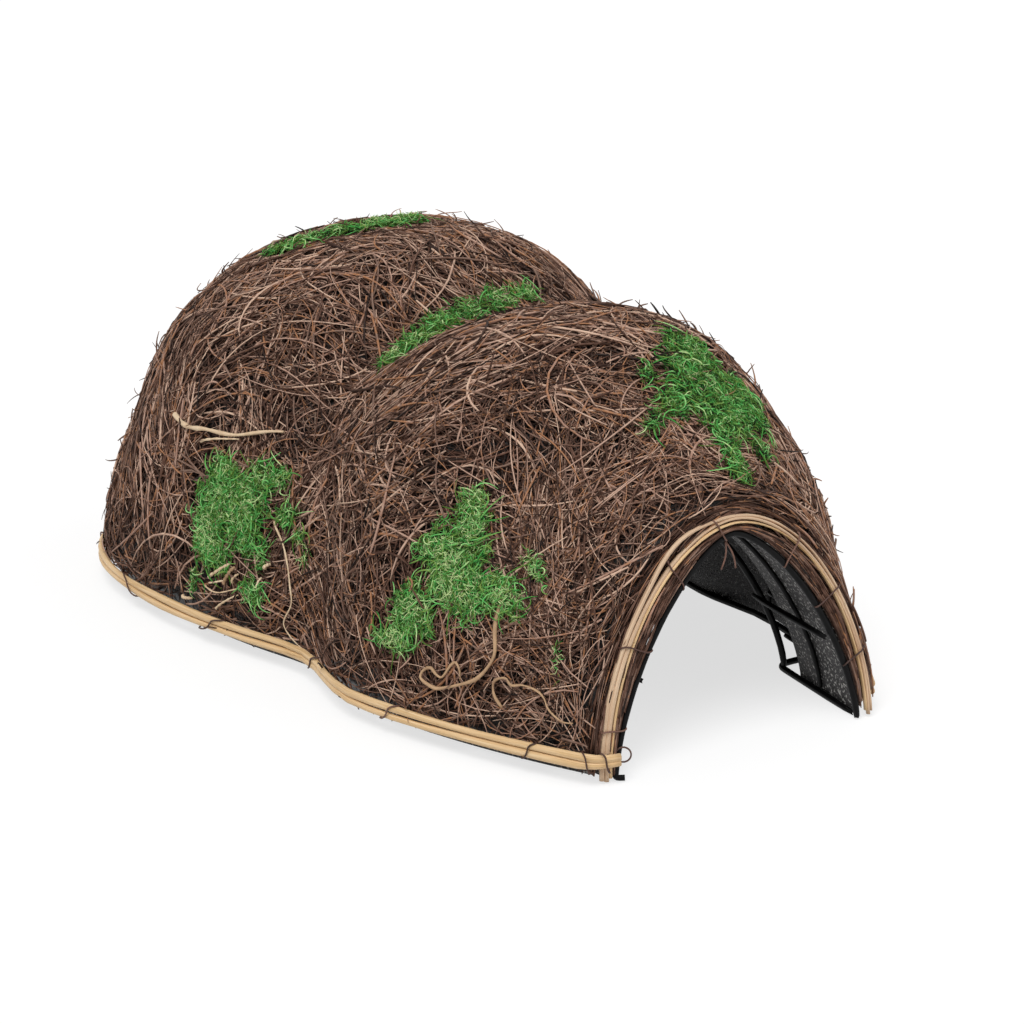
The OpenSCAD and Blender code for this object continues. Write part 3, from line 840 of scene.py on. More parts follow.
class Thatch:
    """Twigs over a black film, laid the way the real mat is: matted, with neighbours lying alike."""

    points = 8
    bed_depth = 5.4
    bed_thickness = 1.6
    bed_cells = (70, 80)
    lowest = 9.0
    overlap = 4.0
    mouth_depth = 62.0
    spare = 1.7
    stray = 0.5
    curl = 1.1
    hump = 0.7
    ends = (0.7, 0.4)
    # Twigs along the cut edge at the mouth
    edge_points = 6
    edge_ends = (0.7, 0.5)
    edge_starts = (3.0, 170.0)
    edge_sweeps = (5.0, 18.0)
    edge_angles = (2.0, 178.0)
    edge_drift = 1.5
    edge_share_drift = 0.12
    edge_overrun = 0.6
    edge_radius = (0.35, 0.7)
    edge_tone = (0.0, 0.25, 0.8)
    # Twigs at the foot, a few of which end low
    foot_count = 820
    foot_margin = 4.0
    foot_depth = (-0.4, 3.2)
    foot_first = (11.0, 26.0)
    foot_last = (11.0, 30.0)
    foot_drift = 16.0
    foot_radius = (0.4, 0.8)
    foot_tone = (0.0, 0.3, 0.8)
    low_share = 0.08
    low_end = 6.5
    # Patches above the trim where the film shows
    bare_top = 25.0
    bare_share = 0.4
    bare_wave = 0.4
    # Twigs over the steep middle of the back
    patch_tries = 1500
    patch_half_width = 52.0
    patch_top = 58.0
    patch_length = (20.0, 64.0)
    patch_reach = 80.0
    patch_lift = (-4.0, 1.4)
    patch_tilt = 1.0
    patch_radius = (0.3, 0.75)
    patch_tone = (0.0, 0.95)

    def __init__(self) -> None:
        """Makes the materials of the thatch."""
        self.bark = BARK.build()
        self.film = BedFinish().build()

    @staticmethod
    def grain(y: Array, angle: Array) -> Array:
        """Direction in which twigs tend to lie, in radians from the house's length."""
        mouth_run, crease_run, crease_shift = 14.0, 24.0, 14.0
        mouth = np.exp(-((y - FORM.front) / mouth_run) ** 2)
        crease = np.exp(-((y - FORM.saddle + crease_shift) / crease_run) ** 2)
        # Twigs lie over the arch at the mouth and in the crease, and swirl from place to place elsewhere
        bound = np.clip(mouth + crease, 0.0, 1.0)
        swirl = 1.4 * np.sin(y / 37.0 + 2.0 * np.sin(angle / 29.0)) + 0.9 * np.sin(angle / 15.0 - y / 52.0)
        return swirl * (1.0 - bound) + math.pi / 2 * bound

    def covers(self, y: Array, z: Array) -> Array:
        """Whether each twig lies clear of the patches above the trim where the film shows."""
        wave = np.sin(y / 7.3 + 1.7 * np.sin(y / 17.0))
        bare = (z < self.bare_top) & (wave > self.bare_wave)
        return bare.mean(1) < self.bare_share

    def bed_place(self, y: Array, share: Array) -> Array:
        """Points of the film, for shares of the way over the arch."""
        return FORM.lifted(y, FORM.angle_over(y, share, self.lowest), -self.bed_depth)

    def bed(self, name: str, node: str, span: tuple[float, float]) -> None:
        """Builds the core of one dome's mat, whose outer face shows between the twigs as black film that is
        also painted shade for the deep gaps.

        Args:
            name: Name of the piece.
            node: CAD node that it stands for.
            span: First and last distance along the house.
        """
        mesh = sheet_mesh(name, self.bed_place, span, (0.0, 1.0), self.bed_cells)
        piece = add_piece(name, mesh, self.film, Slot.THATCH, node)
        thicken(piece, self.bed_thickness)

    def layer(self, layer: TwigLayer) -> None:
        """Lays one layer of twigs.

        Args:
            layer: What the layer is like.
        """
        rng = np.random.default_rng(layer.seed)
        tries = int(layer.count * self.spare)
        y, angle = scatter(rng, tries, layer.span)
        stray = rng.normal(0.0, self.stray, tries)
        heading = self.grain(y, angle) + stray + math.pi * rng.integers(0, 2, tries)
        short, long = layer.length
        length = rng.triangular(short, short * 0.6 + long * 0.4, long, tries)
        bend = rng.normal(0.0, self.curl, tries)
        ys, angles = walk(y, angle, heading, length, bend, self.points)
        first = rng.uniform(*layer.lift, tries)
        last = rng.uniform(*layer.lift, tries) + layer.rise * rng.uniform(0.3, 1.0, tries)
        t = np.linspace(0.0, 1.0, self.points)
        hump = rng.normal(0.0, self.hump, tries)[:, None] * np.sin(math.pi * t)
        lifts = between(first, last, t) + hump
        paths = FORM.lifted(ys, angles, lifts)
        z = paths[:, :, 2]
        inside = (ys.min(1) > FORM.front - 2.5) & (ys.max(1) < FORM.back - 0.7)
        fits = inside & (z.min(1) > self.lowest) & self.covers(ys, z)
        keep = np.flatnonzero(fits)[:layer.count]
        thin, thick = layer.radius
        radius = thin + (thick - thin) * rng.uniform(0.0, 1.0, tries) ** 2
        tone = rng.uniform(*layer.tone, tries)
        radii = taper(keep.size, self.points, radius[keep], self.ends)
        Strands(paths[keep], radii, tone[keep]).add(layer.name, self.bark, layer.slot, *layer.nodes)

    def build(self) -> None:
        """Builds the beds and all layers."""
        front = (FORM.front, FORM.saddle + self.overlap)
        rear = (FORM.saddle - self.overlap, FORM.back - 1.0)
        self.bed("front_bed", "front_mat", (FORM.front + 1.0, FORM.saddle - 0.2))
        self.bed("rear_bed", "rear_mat", (FORM.saddle + 0.2, FORM.back - 0.05))
        mouth = (FORM.front, FORM.front + self.mouth_depth)
        # The under twigs take only the dark end of the bark's tones: painted shade in the gaps between the
        # upper twigs.
        under = {"slot": Slot.THATCH, "radius": (0.38, 0.9), "lift": (-4.8, -1.4), "tone": (0.0, 0.36)}
        upper = {"slot": Slot.TWIG, "radius": (0.32, 0.85), "lift": (-2.2, 1.6), "tone": (0.03, 1.0)}
        fine = {"slot": Slot.TWIG, "radius": (0.26, 0.52), "lift": (-3.0, 1.8), "tone": (0.03, 1.0)}
        stubs = {"slot": Slot.TWIG, "radius": (0.35, 0.75), "lift": (-2.0, 1.0), "tone": (0.0, 0.8),
                 "rise": 7.0}
        layers = (
            TwigLayer("front_under_twigs", span=front, count=2700, length=(24, 70), seed=11, **under),
            TwigLayer("rear_under_twigs", span=rear, count=3100, length=(26, 78), seed=12, **under),
            TwigLayer("front_upper_twigs", span=front, count=2900, length=(24, 84), seed=13,
                      nodes=("front_twigs",), **upper),
            TwigLayer("rear_upper_twigs", span=rear, count=3200, length=(28, 92), seed=14,
                      nodes=("rear_twigs",), **upper),
            TwigLayer("front_fine_twigs", span=front, count=1900, length=(20, 70), seed=17, **fine),
            TwigLayer("rear_fine_twigs", span=rear, count=2100, length=(20, 74), seed=18, **fine),
            TwigLayer("mouth_twigs", span=mouth, count=1200, length=(20, 64), seed=19, **fine),
            TwigLayer("front_stubs", span=front, count=420, length=(7, 20), seed=15, **stubs),
            TwigLayer("rear_stubs", span=rear, count=520, length=(7, 22), seed=16, **stubs),
        )
        for layer in layers:
            self.layer(layer)
        self.mouth_edge("mouth_edge_twigs", 1100, (FORM.front - 2.0, FORM.front + 9.0), (3.4, 12.5), 21)
        self.mouth_edge("hoop_edge_twigs", 900, (FORM.front - 3.4, FORM.front - 0.2), (1.9, 2.2), 23)
        self.foot_edge()
        self.back_patch()

    def back_patch(self) -> None:
        """Lays twigs over the steep middle of the back, where the other layers thin out."""
        rng = np.random.default_rng(24)
        tries = self.patch_tries
        x = rng.uniform(-self.patch_half_width, self.patch_half_width, tries)
        z = rng.uniform(self.lowest + 1.0, self.patch_top, tries)
        heading = rng.uniform(0.0, 2 * math.pi, tries)
        bend = rng.normal(0.0, self.curl, tries)
        length = rng.uniform(*self.patch_length, tries)
        t = np.linspace(-0.5, 0.5, self.points)
        turn = heading[:, None] + bend[:, None] * t
        step = (length / (self.points - 1))[:, None]
        half = step * self.points / 2
        xs = x[:, None] + np.cumsum(step * np.cos(turn), axis=1) - half * np.cos(heading)[:, None]
        zs = z[:, None] + np.cumsum(step * np.sin(turn), axis=1) - half * np.sin(heading)[:, None]
        reach = np.maximum(zs, np.abs(xs)).max(1)
        keep = np.flatnonzero((zs.min(1) > self.lowest) & (reach < self.patch_reach))
        middle = rng.uniform(*self.patch_lift, tries)[:, None]
        lifts = middle + rng.normal(0.0, self.patch_tilt, tries)[:, None] * t
        paths = np.stack([xs, np.zeros_like(xs), zs], axis=-1)[keep]
        paths[:, :, 1] = FORM.back_face(xs[keep], zs[keep]) + lifts[keep]
        radii = taper(keep.size, self.points, rng.uniform(*self.patch_radius, keep.size), self.ends)
        tone = rng.uniform(*self.patch_tone, keep.size)
        Strands(paths, radii, tone).add("back_patch_twigs", self.bark, Slot.TWIG)

    def mouth_edge(self, name: str, count: int, span: tuple[float, float], outs: tuple[float, float],
                   seed: int) -> None:
        """Lays twigs along the cut edge of the mat, between the hoop and the canes round the arch.

        Args:
            name: Name of the piece.
            count: Number of twigs.
            span: First and last distance along the house.
            outs: Offset from the hoop where the twigs begin, and from the arch's line where they end.
            seed: Seed of the random draws.
        """
        rng = np.random.default_rng(seed)
        start = rng.uniform(*self.edge_starts, count)
        sweep = rng.uniform(*self.edge_sweeps, count)
        t = np.linspace(0.0, 1.0, self.edge_points)
        angles = np.clip(start[:, None] + sweep[:, None] * t, *self.edge_angles)
        share = rng.uniform(0.0, 1.0, count)[:, None] + rng.normal(0.0, self.edge_share_drift, (count, 1)) * t
        share = np.clip(share, 0.0, 1.0)[:, :, None]
        y = rng.uniform(*span, count)[:, None] + rng.normal(0.0, self.edge_drift, (count, 1)) * t
        y = np.maximum(y, span[0] - self.edge_overrun)
        paths = TUNNEL.point(y, angles, outs[0]) * (1.0 - share) + ARCH.point(y, angles, outs[1]) * share
        radii = taper(count, self.edge_points, rng.uniform(*self.edge_radius, count), self.edge_ends)
        tone = rng.triangular(*self.edge_tone, count)
        Strands(paths, radii, tone).add(name, self.bark, Slot.THATCH)

    def foot_edge(self) -> None:
        """Lays twigs that lean on the base trim, with a few ends below it."""
        rng = np.random.default_rng(22)
        count = self.foot_count
        side = np.where(rng.integers(0, 2, count), -1.0, 1.0)
        run = np.sin(np.radians(rng.uniform(0.0, 90.0, count)))
        y = FORM.front + self.foot_margin + (FORM.back - FORM.front - 2 * self.foot_margin) * run
        depth = rng.uniform(*self.foot_depth, count)
        first = rng.uniform(*self.foot_first, count)
        low = rng.uniform(0.0, 1.0, count) < self.low_share
        last = np.where(low, self.low_end, rng.uniform(*self.foot_last, count))
        drift = rng.normal(0.0, self.foot_drift, count)
        t = np.linspace(0.0, 1.0, self.edge_points)
        ys = np.clip(y[:, None] + drift[:, None] * t, FORM.front + 1.0, FORM.back - 1.5)
        x = FORM.foot(ys, -depth[:, None], side[:, None])
        z = between(first, last, t)
        paths = np.stack([x, ys, z], axis=-1)
        radii = taper(count, self.edge_points, rng.uniform(*self.foot_radius, count), self.edge_ends)
        tone = rng.triangular(*self.foot_tone, count)
        keep = self.covers(ys, z)
        Strands(paths[keep], radii[keep], tone[keep]).add("foot_edge_twigs", self.bark, Slot.THATCH)


def sheet_mesh(name: str, place: Place, u_span: tuple[float, float], v_span: tuple[float, float],
               cells: tuple[int, int]) -> bpy.types.Mesh:
    """Bends a flat grid into a sheet whose faces point away from the inside of the house.

    Args:
        name: Name of the mesh.
        place: Gives the points, in millimetres, for arrays of u and v.
        u_span: First and last u, a distance along the house.
        v_span: First and last v, an angle over the arch.
        cells: Number of faces along u and v.

    Returns:
        The mesh.
    """
    shape = bmesh.new()
    bmesh.ops.create_grid(shape, x_segments=cells[0], y_segments=cells[1], size=0.5)
    flat = np.array([vert.co for vert in shape.verts]) + 0.5
    u = u_span[0] + (u_span[1] - u_span[0]) * flat[:, 0]
    v = v_span[0] + (v_span[1] - v_span[0]) * flat[:, 1]
    for vert, point in zip(shape.verts, place(u, v)):
        vert.co = point * MM
    shape.normal_update()
    outward = sum(face.normal.x * face.calc_center_median().x + face.normal.z * face.calc_center_median().z
                  for face in shape.faces)
    if outward < 0:
        bmesh.ops.reverse_faces(shape, faces=shape.faces)
    for face in shape.faces:
        face.smooth = True
    return to_mesh(shape, name)


def thicken(piece: bpy.types.Object, thickness: float) -> None:
    """Gives a sheet its thickness towards the inside of the house, in millimetres."""
    wall = piece.modifiers.new("wall", "SOLIDIFY")
    wall.thickness = thickness * MM
    wall.offset = -1.0


class Liner:
    """Black sheets under the thatch and in the tunnel, slightly slack between the wires."""

    thickness = 0.7
    tunnel_out = 2.8
    dome_depth = 12.6
    lowest = 1.2
    slack = 0.3
    bare_end = 13.0

    def __init__(self) -> None:
        """Makes the material of the sheets."""
        self.cloth = LinerFinish().build()

    def sag(self, y: Array, angle: Array) -> Array:
        """How far the tunnel's sheet stands off its mean place, in millimetres."""
        return self.slack * np.sin(y / 6.1 + np.sin(angle / 9.0)) * np.sin(angle / 5.3)

    def tunnel_place(self, y: Array, angle: Array) -> Array:
        """Points of the tunnel's sheet."""
        return SHEET.point(y, angle, self.tunnel_out + self.sag(y, angle))

    def dome_place(self, y: Array, share: Array) -> Array:
        """Points of the sheet under the domes, for shares of the way over the arch."""
        return FORM.skin(y, FORM.angle_over(y, share, self.lowest), self.dome_depth)

    def sheet(self, name: str, node: str, place: Place, span: tuple[float, float], sweep: tuple[float, float],
              cells: tuple[int, int]) -> None:
        """Builds one sheet.

        Args:
            name: Name of the piece.
            node: CAD node that it stands for.
            place: Gives its points.
            span: First and last distance along the house.
            sweep: First and last place over the arch, as the points' maker takes it.
            cells: Number of faces along and over.
        """
        mesh = sheet_mesh(name, place, span, sweep, cells)
        piece = add_piece(name, mesh, self.cloth, Slot.LINER, node)
        thicken(piece, self.thickness)

    def build(self) -> None:
        """Builds the three sheets."""
        tunnel_end = TUNNEL.mouth + TUNNEL.depth - self.bare_end
        rear_end = FORM.back - self.dome_depth - 0.01
        self.sheet("tunnel_sheet", "tunnel_liner", self.tunnel_place, (FORM.front + 0.5, tunnel_end),
                   (0.5, 179.5), (24, 90))
        self.sheet("front_sheet", "front_liner", self.dome_place, (FORM.front + 7.0, FORM.saddle - 0.3),
                   (0.0, 1.0), (50, 60))
        self.sheet("rear_sheet", "rear_liner", self.dome_place, (FORM.saddle + 0.3, rear_end),
                   (0.0, 1.0), (60, 60))


class WireFrame:
    """The welded wire frame: the solids' wires with their facets rounded off."""

    heavy = ("base_ring", "entrance_hoop", "tunnel_inner_hoop", "left_sill", "right_sill", "left_rail",
             "right_rail")
    thin = ("tunnel_middle_hoop", "left_rungs", "right_rungs", "front_hoop", "front_crown_hoop",
            "saddle_hoop", "rear_crown_hoop", "rear_hoop", "back_hoop", "lower_belt", "upper_belt",
            "ridge_wire")
    merge_mm = 0.01
    hook_points = 10
    hook_radius = 1.55
    hook_route = ((-73.6, -237.9, 6.0), (-73.8, -238.3, 3.2), (-73.0, -239.2, 1.75), (-70.0, -241.2, 1.75))

    def __init__(self) -> None:
        """Makes the paint."""
        self.paint = PaintFinish().build()

    def foot_hook(self) -> None:
        """Builds the bent end of the entrance hoop at its left foot."""
        route = np.array(self.hook_route)
        t = np.linspace(0.0, 1.0, self.hook_points)
        knots = np.linspace(0.0, 1.0, len(route))
        path = np.stack([smooth(t, knots, route[:, axis]) for axis in range(3)], axis=-1)
        radii = np.full((1, self.hook_points), self.hook_radius)
        Strands(path[None], radii, np.zeros(1), Sides.EIGHT).add("hoop_foot_hook", self.paint, Slot.WIRE)

    def build(self) -> None:
        """Builds one rounded wire for each wire of the frame, and the hoop's bent end."""
        self.foot_hook()
        for node in self.heavy + self.thin:
            shape = bmesh.new()
            shape.from_mesh(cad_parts[node].data)
            bmesh.ops.remove_doubles(shape, verts=shape.verts, dist=self.merge_mm * MM)
            for face in shape.faces:
                face.smooth = True
            name = node + "_wire"
            piece = add_piece(name, to_mesh(shape, name), self.paint, Slot.WIRE, node)
            rounding = piece.modifiers.new("rounding", "SUBSURF")
            rounding.levels = 1
            rounding.render_levels = 1


def strip_mesh(name: str, centres: Array, across: Array, deep: Array, widths: Array,
               depths: Array) -> bpy.types.Mesh:
    """Sweeps a rounded strip along a path.

    Args:
        name: Name of the mesh.
        centres: Points of the path, in millimetres.
        across: Unit vectors along the strip's width.
        deep: Unit vectors along its thickness.
        widths: Width at each point.
        depths: Thickness at each point.

    Returns:
        A closed mesh with the distance along and across the strip on each point.
    """
    sides = 14
    shape = bmesh.new()
    along_layer = shape.verts.layers.float.new("along")
    across_layer = shape.verts.layers.float.new("across")
    runs = np.concatenate([[0.0], np.cumsum(np.linalg.norm(np.diff(centres, axis=0), axis=1))])
    rings = []
    for centre, wide, thick, width, depth, run in zip(centres, across, deep, widths, depths, runs):
        place = Matrix.Identity(4)
        place.col[0][:3] = wide * width / 2 * MM
        place.col[1][:3] = thick * depth / 2 * MM
        place.col[2][:3] = np.cross(wide, thick) * MM
        place.col[3][:3] = centre * MM
        verts = bmesh.ops.create_circle(shape, segments=sides, radius=1.0, matrix=place)["verts"]
        for index, vert in enumerate(verts):
            turn = 2 * math.pi * index / sides
            vert[along_layer] = run
            vert[across_layer] = width / 2 * math.cos(turn) + depth * (math.sin(turn) > 0)
        ring = set(verts)
        rings.append([edge for edge in shape.edges if edge.verts[0] in ring])
        shape.edges.ensure_lookup_table()
    for first, second in zip(rings[:-1], rings[1:]):
        bmesh.ops.bridge_loops(shape, edges=first + second)
    for ring in (rings[0], rings[-1]):
        bmesh.ops.contextual_create(shape, geom=ring)
    bmesh.ops.recalc_face_normals(shape, faces=shape.faces)
    for face in shape.faces:
        face.smooth = len(face.verts) == 4
    return to_mesh(shape, name)


@dataclass(frozen=True)
class ArchStrip:
    """One cane round the arch: its offset outside the hoop, its width and where it starts and ends."""

    name: str
    node: str
    out: float
    width: float
    start: float
    end: float
    stand_off: float
    seed: int


class CaneTrim:
    """Split-cane strips round the base and round the arch."""

    base_points = 90
    arch_points = 64
    base_gap = 0.6
    base_thickness = 3.2
    base_width = 3.8
    base_low = 9.0
    back_gap = 0.002
    right_end = -233.5
    left_end = ((-90.8, -236.5), (-86.8, -240.4), (-81.2, -242.9), (-74.6, -243.7))
    arch_thickness = 2.8
    arch_front = -238.6
    arch_outer = 8.0
    arch_thinning = 0.4
    split_angle = 113.0
    split_spread = 13.0
    thinning_run = 22.0

    def __init__(self) -> None:
        """Makes the cane's materials."""
        self.base_cane = BASE_CANE.build()
        self.arch_cane = ARCH_CANE.build()

    @staticmethod
    def base_line(y: Array, out: float, hand: float) -> Array:
        """Places across the house of the trim on the right or left, where hand is 1 or -1."""
        return (FORM.half_width(y, -out) - FORM.half_width(y)) * hand + FORM.foot(y, 0.0, hand)

    def base_path(self, out: float) -> tuple[Array, Array]:
        """Path of a strip round the base.

        Args:
            out: Offset of its middle outside the mat.

        Returns:
            Points of the path at height 0, and unit vectors that point outwards.
        """
        half = self.base_points // 2
        turn = np.radians(np.linspace(0.0, 90.0, half))
        y = self.right_end + (FORM.back + out - self.right_end) * np.sin(turn)
        y[-1] = FORM.back + out - self.back_gap
        level = np.zeros(half)
        right, left = (np.stack([self.base_line(y, out, hand), y, level], axis=-1) for hand in (1.0, -1.0))
        end = np.array([(x, y, 0.0) for x, y in self.left_end])
        path = np.concatenate([right, left[::-1][1:], end])
        tangent = unit(np.gradient(path, axis=0))
        return path, np.stack([tangent[:, 1], -tangent[:, 0], np.zeros(len(path))], axis=-1)

    def base_strip(self, name: str, node: str, low: float, seed: int) -> None:
        """Builds one strip of the base trim.

        Args:
            name: Name of the piece.
            node: CAD node that it stands for.
            low: Height of its lower edge.
            seed: Seed of its unevenness.
        """
        rng = np.random.default_rng(seed)
        path, outward = self.base_path(self.base_gap + self.base_thickness / 2)
        count = len(path)
        t = np.linspace(0.0, 1.0, count)
        phase = rng.uniform(0.0, 6.3, 3)
        # Cane that is split by hand wavers in height and width by parts of a millimetre
        wave = 0.35 * np.sin(41.0 * t + phase[0]) + 0.25 * np.sin(83.0 * t + phase[1])
        path = path + UP * (low + self.base_width / 2 + wave)[:, None]
        widths = self.base_width + 0.5 * np.sin(57.0 * t + phase[2])
        up = np.broadcast_to(UP, (count, 3))
        mesh = strip_mesh(name, path, up, outward, widths, np.full(count, self.base_thickness))
        add_piece(name, mesh, self.base_cane, Slot.CANE, node)

    def arch_strip(self, strip: ArchStrip, cane: bpy.types.Material) -> None:
        """Builds one strip round the arch.

        Args:
            strip: What the strip is like.
            cane: Its material.
        """
        rng = np.random.default_rng(strip.seed)
        angle = np.linspace(strip.start, strip.end, self.arch_points)
        phase = rng.uniform(0.0, 6.3, 2)
        split = strip.stand_off * np.exp(-((angle - self.split_angle) / self.split_spread) ** 2)
        # The canes thin out and draw together from the left leg over the top to the right leg
        drawn = 0.5 - 0.5 * np.tanh((angle - self.split_angle) / self.thinning_run)
        share = 1.0 - self.arch_thinning * drawn
        out = self.arch_outer - (self.arch_outer - strip.out) * share
        wave = 0.35 * np.sin(angle / 11.0 + phase[0])
        y = np.full(self.arch_points, self.arch_front) + 0.4 * np.sin(angle / 14.0 + phase[1])
        centre = ARCH.point(y, angle, out + split + wave)
        outward = unit(ARCH.point(y, angle, out + 1.0) - ARCH.point(y, angle, out))
        tangent = unit(np.gradient(centre, axis=0))
        forward = unit(np.cross(tangent, outward))
        widths = strip.width * share * (1.0 + 0.07 * np.sin(angle / 19.0 + phase[0]))
        depths = np.full(self.arch_points, self.arch_thickness)
        mesh = strip_mesh(strip.name, centre, outward, forward, widths, depths)
        add_piece(strip.name, mesh, cane, Slot.CANE, strip.node)

    def build(self) -> None:
        """Builds all strips."""
        self.base_strip("base_cane_lower", "base_trim_lower", self.base_low, 31)
        self.base_strip("base_cane_upper", "base_trim_upper", self.base_low + self.base_width + 0.1, 32)
        strips = (
            ArchStrip("arch_cane_inner", "arch_trim_inner", 3.1, 1.9, 2.5, 178.6, 0.0, 33),
            ArchStrip("arch_cane_middle", "arch_trim_middle", 5.5, 2.6, 1.0, 179.5, 0.0, 34),
            ArchStrip("arch_cane_outer", "arch_trim_outer", 8.0, 2.4, 2.0, 179.0, 4.0, 35),
        )
        for strip, cane in zip(strips, (self.base_cane, self.arch_cane, self.arch_cane)):
            self.arch_strip(strip, cane)


class Ties:
    """Loops of thin binding wire round the cane strips."""

    wire_radius = 0.45
    points = 22
    turns = 1.15
    first_turn = -2.2
    base_slant = (6.0, 24.0)
    corner_slant = 5.0
    back_slant = 3.0
    arch_slant = (-7.0, 7.0)
    base_places = (30.0, 110.0, 190.0, 270.0, 350.0, 430.0)
    arch_angles = (20.0, 40.0, 60.0, 98.0, 120.0, 143.0, 165.0)
    # Loose loops where the base trim crosses the left leg of the arch
    corner_places = ((-89.5, -237.8), (-82.5, -242.4))
    corner_runs = ((4.0, -4.0), (6.0, -1.5))
    corner_sizes = (5.2, 2.6)
    ring_centre = (-70.6, -240.4, 13.5)
    ring_radius = 3.8
    ring_side = (0.84, -0.54, 0.0)
    ring_turn = (3.6, 9.0)
    # Offsets of the arch's loops from the canes' line outwards and from the hoop's line inwards
    outer_out = 9.9
    inner_out = -2.3
    tail_angle = 98.0
    tail_out = -2.6
    tail_points = 6
    tail_ends = ((-4.0, -2.5, -13.0), (5.0, -2.0, -14.0))
    tail_curl = (1.5, 0.0, 0.0)
    tone = (0.2, 0.9)

    def __init__(self, trim: CaneTrim) -> None:
        """Makes the wire's material.

        Args:
            trim: The cane that is tied.
        """
        self.trim = trim
        self.wire = TIE_WIRE.build()

    def loop(self, centre: Array, wide: Array, deep: Array, along: Array, sizes: tuple[float, float],
             slant: float) -> Array:
        """Path of one loop.

        Args:
            centre: Middle of what is tied.
            wide: Unit vector along its width.
            deep: Unit vector along its depth.
            along: Unit vector along the strip.
            sizes: Half width and half depth of the loop.
            slant: How far the loop runs along the strip.

        Returns:
            Points of the path.
        """
        t = np.linspace(0.0, self.turns, self.points)
        turn = 2 * math.pi * t + self.first_turn
        box = 0.5
        u = sizes[0] * signed_power(np.cos(turn), box)
        v = sizes[1] * signed_power(np.sin(turn), box)
        shift = slant * (np.clip(turn / math.pi, 0.0, 1.0) - 0.5)
        return centre + u[:, None] * wide + v[:, None] * deep + shift[:, None] * along

    def base_loops(self) -> Array:
        """Paths of the loops round the base trim."""
        rng = np.random.default_rng(41)
        trim = self.trim
        middle = trim.base_gap + trim.base_thickness / 2
        centre_z = trim.base_low + trim.base_width
        sizes = (trim.base_width + 0.7, trim.base_thickness / 2 + 0.6)
        paths = []
        for place in self.base_places:
            for hand in (1.0, -1.0):
                y = ENTRANCE + place + np.array([-1.0, 0.0, 1.0])
                x = trim.base_line(y, middle, hand)
                along = unit(np.array([x[2] - x[0], 2.0, 0.0]))
                deep = np.array([along[1], -along[0], 0.0]) * hand
                slant = rng.choice([-1.0, 1.0]) * rng.uniform(*self.base_slant)
                paths.append(self.loop(np.array([x[1], y[1], centre_z]), UP, deep, along, sizes, slant))
        for (x, y), (along_x, along_y) in zip(self.corner_places, self.corner_runs):
            along = unit(np.array([along_x, along_y, 0.0]))
            deep = np.array([along[1], -along[0], 0.0])
            centre = np.array([x, y, centre_z])
            paths.append(self.loop(centre, UP, deep, along, self.corner_sizes, self.corner_slant))
        back = np.array([0.0, FORM.back + middle, centre_z])
        along, deep, _ = np.eye(3)
        paths.append(self.loop(back, UP, deep, along, sizes, self.back_slant))
        return np.stack(paths)

    def arch_loops(self) -> Array:
        """Paths of the loops round the arch."""
        rng = np.random.default_rng(42)
        trim = self.trim
        paths = []
        for angle in self.arch_angles:
            y = np.array([trim.arch_front])
            outer = ARCH.point(y, np.array([angle]), self.outer_out)[0]
            hoop = TUNNEL.point(np.repeat(y, 181), np.arange(181.0), self.inner_out)
            inner = hoop[np.argmin(np.linalg.norm(hoop - outer, axis=1))]
            wide = unit(outer - inner)
            deep = np.array([0.0, -1.0, 0.0])
            along = unit(np.cross(wide, deep))
            sizes = (float(np.linalg.norm(outer - inner)) / 2, trim.arch_thickness / 2 + 0.7)
            slant = rng.uniform(*self.arch_slant)
            paths.append(self.loop((inner + outer) / 2, wide, deep, along, sizes, slant))
        return np.stack(paths)

    def corner_ring(self) -> Array:
        """Path of the open ring of wire that holds the base trim's end to the hoop."""
        turn = np.linspace(*self.ring_turn, self.points)
        side = unit(np.array(self.ring_side))
        ring = np.cos(turn)[:, None] * side + np.sin(turn)[:, None] * UP
        return (np.array(self.ring_centre) + self.ring_radius * ring)[None]

    def tails(self) -> Array:
        """Paths of the two loose ends of the knot at the top of the arch."""
        y = np.array([self.trim.arch_front])
        top = TUNNEL.point(y, np.array([self.tail_angle]), self.tail_out)[0]
        t = np.linspace(0.0, 1.0, self.tail_points)
        curl = np.sin(t * math.pi)[:, None] * np.array(self.tail_curl)
        return np.stack([top + t[:, None] * end + curl for end in np.array(self.tail_ends)])

    def build(self) -> None:
        """Builds the loops, the ring and the tails."""
        rng = np.random.default_rng(43)
        for name, nodes, paths in (("base_tie_loops", ("base_ties",), self.base_loops()),
                                   ("arch_tie_loops", ("arch_ties",), self.arch_loops()),
                                   ("corner_tie_ring", (), self.corner_ring()),
                                   ("arch_tie_tails", (), self.tails())):
            radii = np.full(paths.shape[:2], self.wire_radius)
            tones = rng.uniform(*self.tone, len(paths))
            Strands(paths, radii, tones, Sides.SIX).add(name, self.wire, Slot.TIE, *nodes)


@dataclass(frozen=True)
class MossLobe:
    """One tuft of a moss pad.

    It has a distance from the entrance, an angle over the arch, half lengths along and over, and a turn.
    """

    place: float
    angle: float
    along: float
    over: float
    turn: float = 0.0


@dataclass(frozen=True)
class MossPad:
    """A pad of moss made of tufts."""

    name: str
    node: str
    lobes: tuple[MossLobe, ...]
    tone: tuple[float, float]
    seed: int


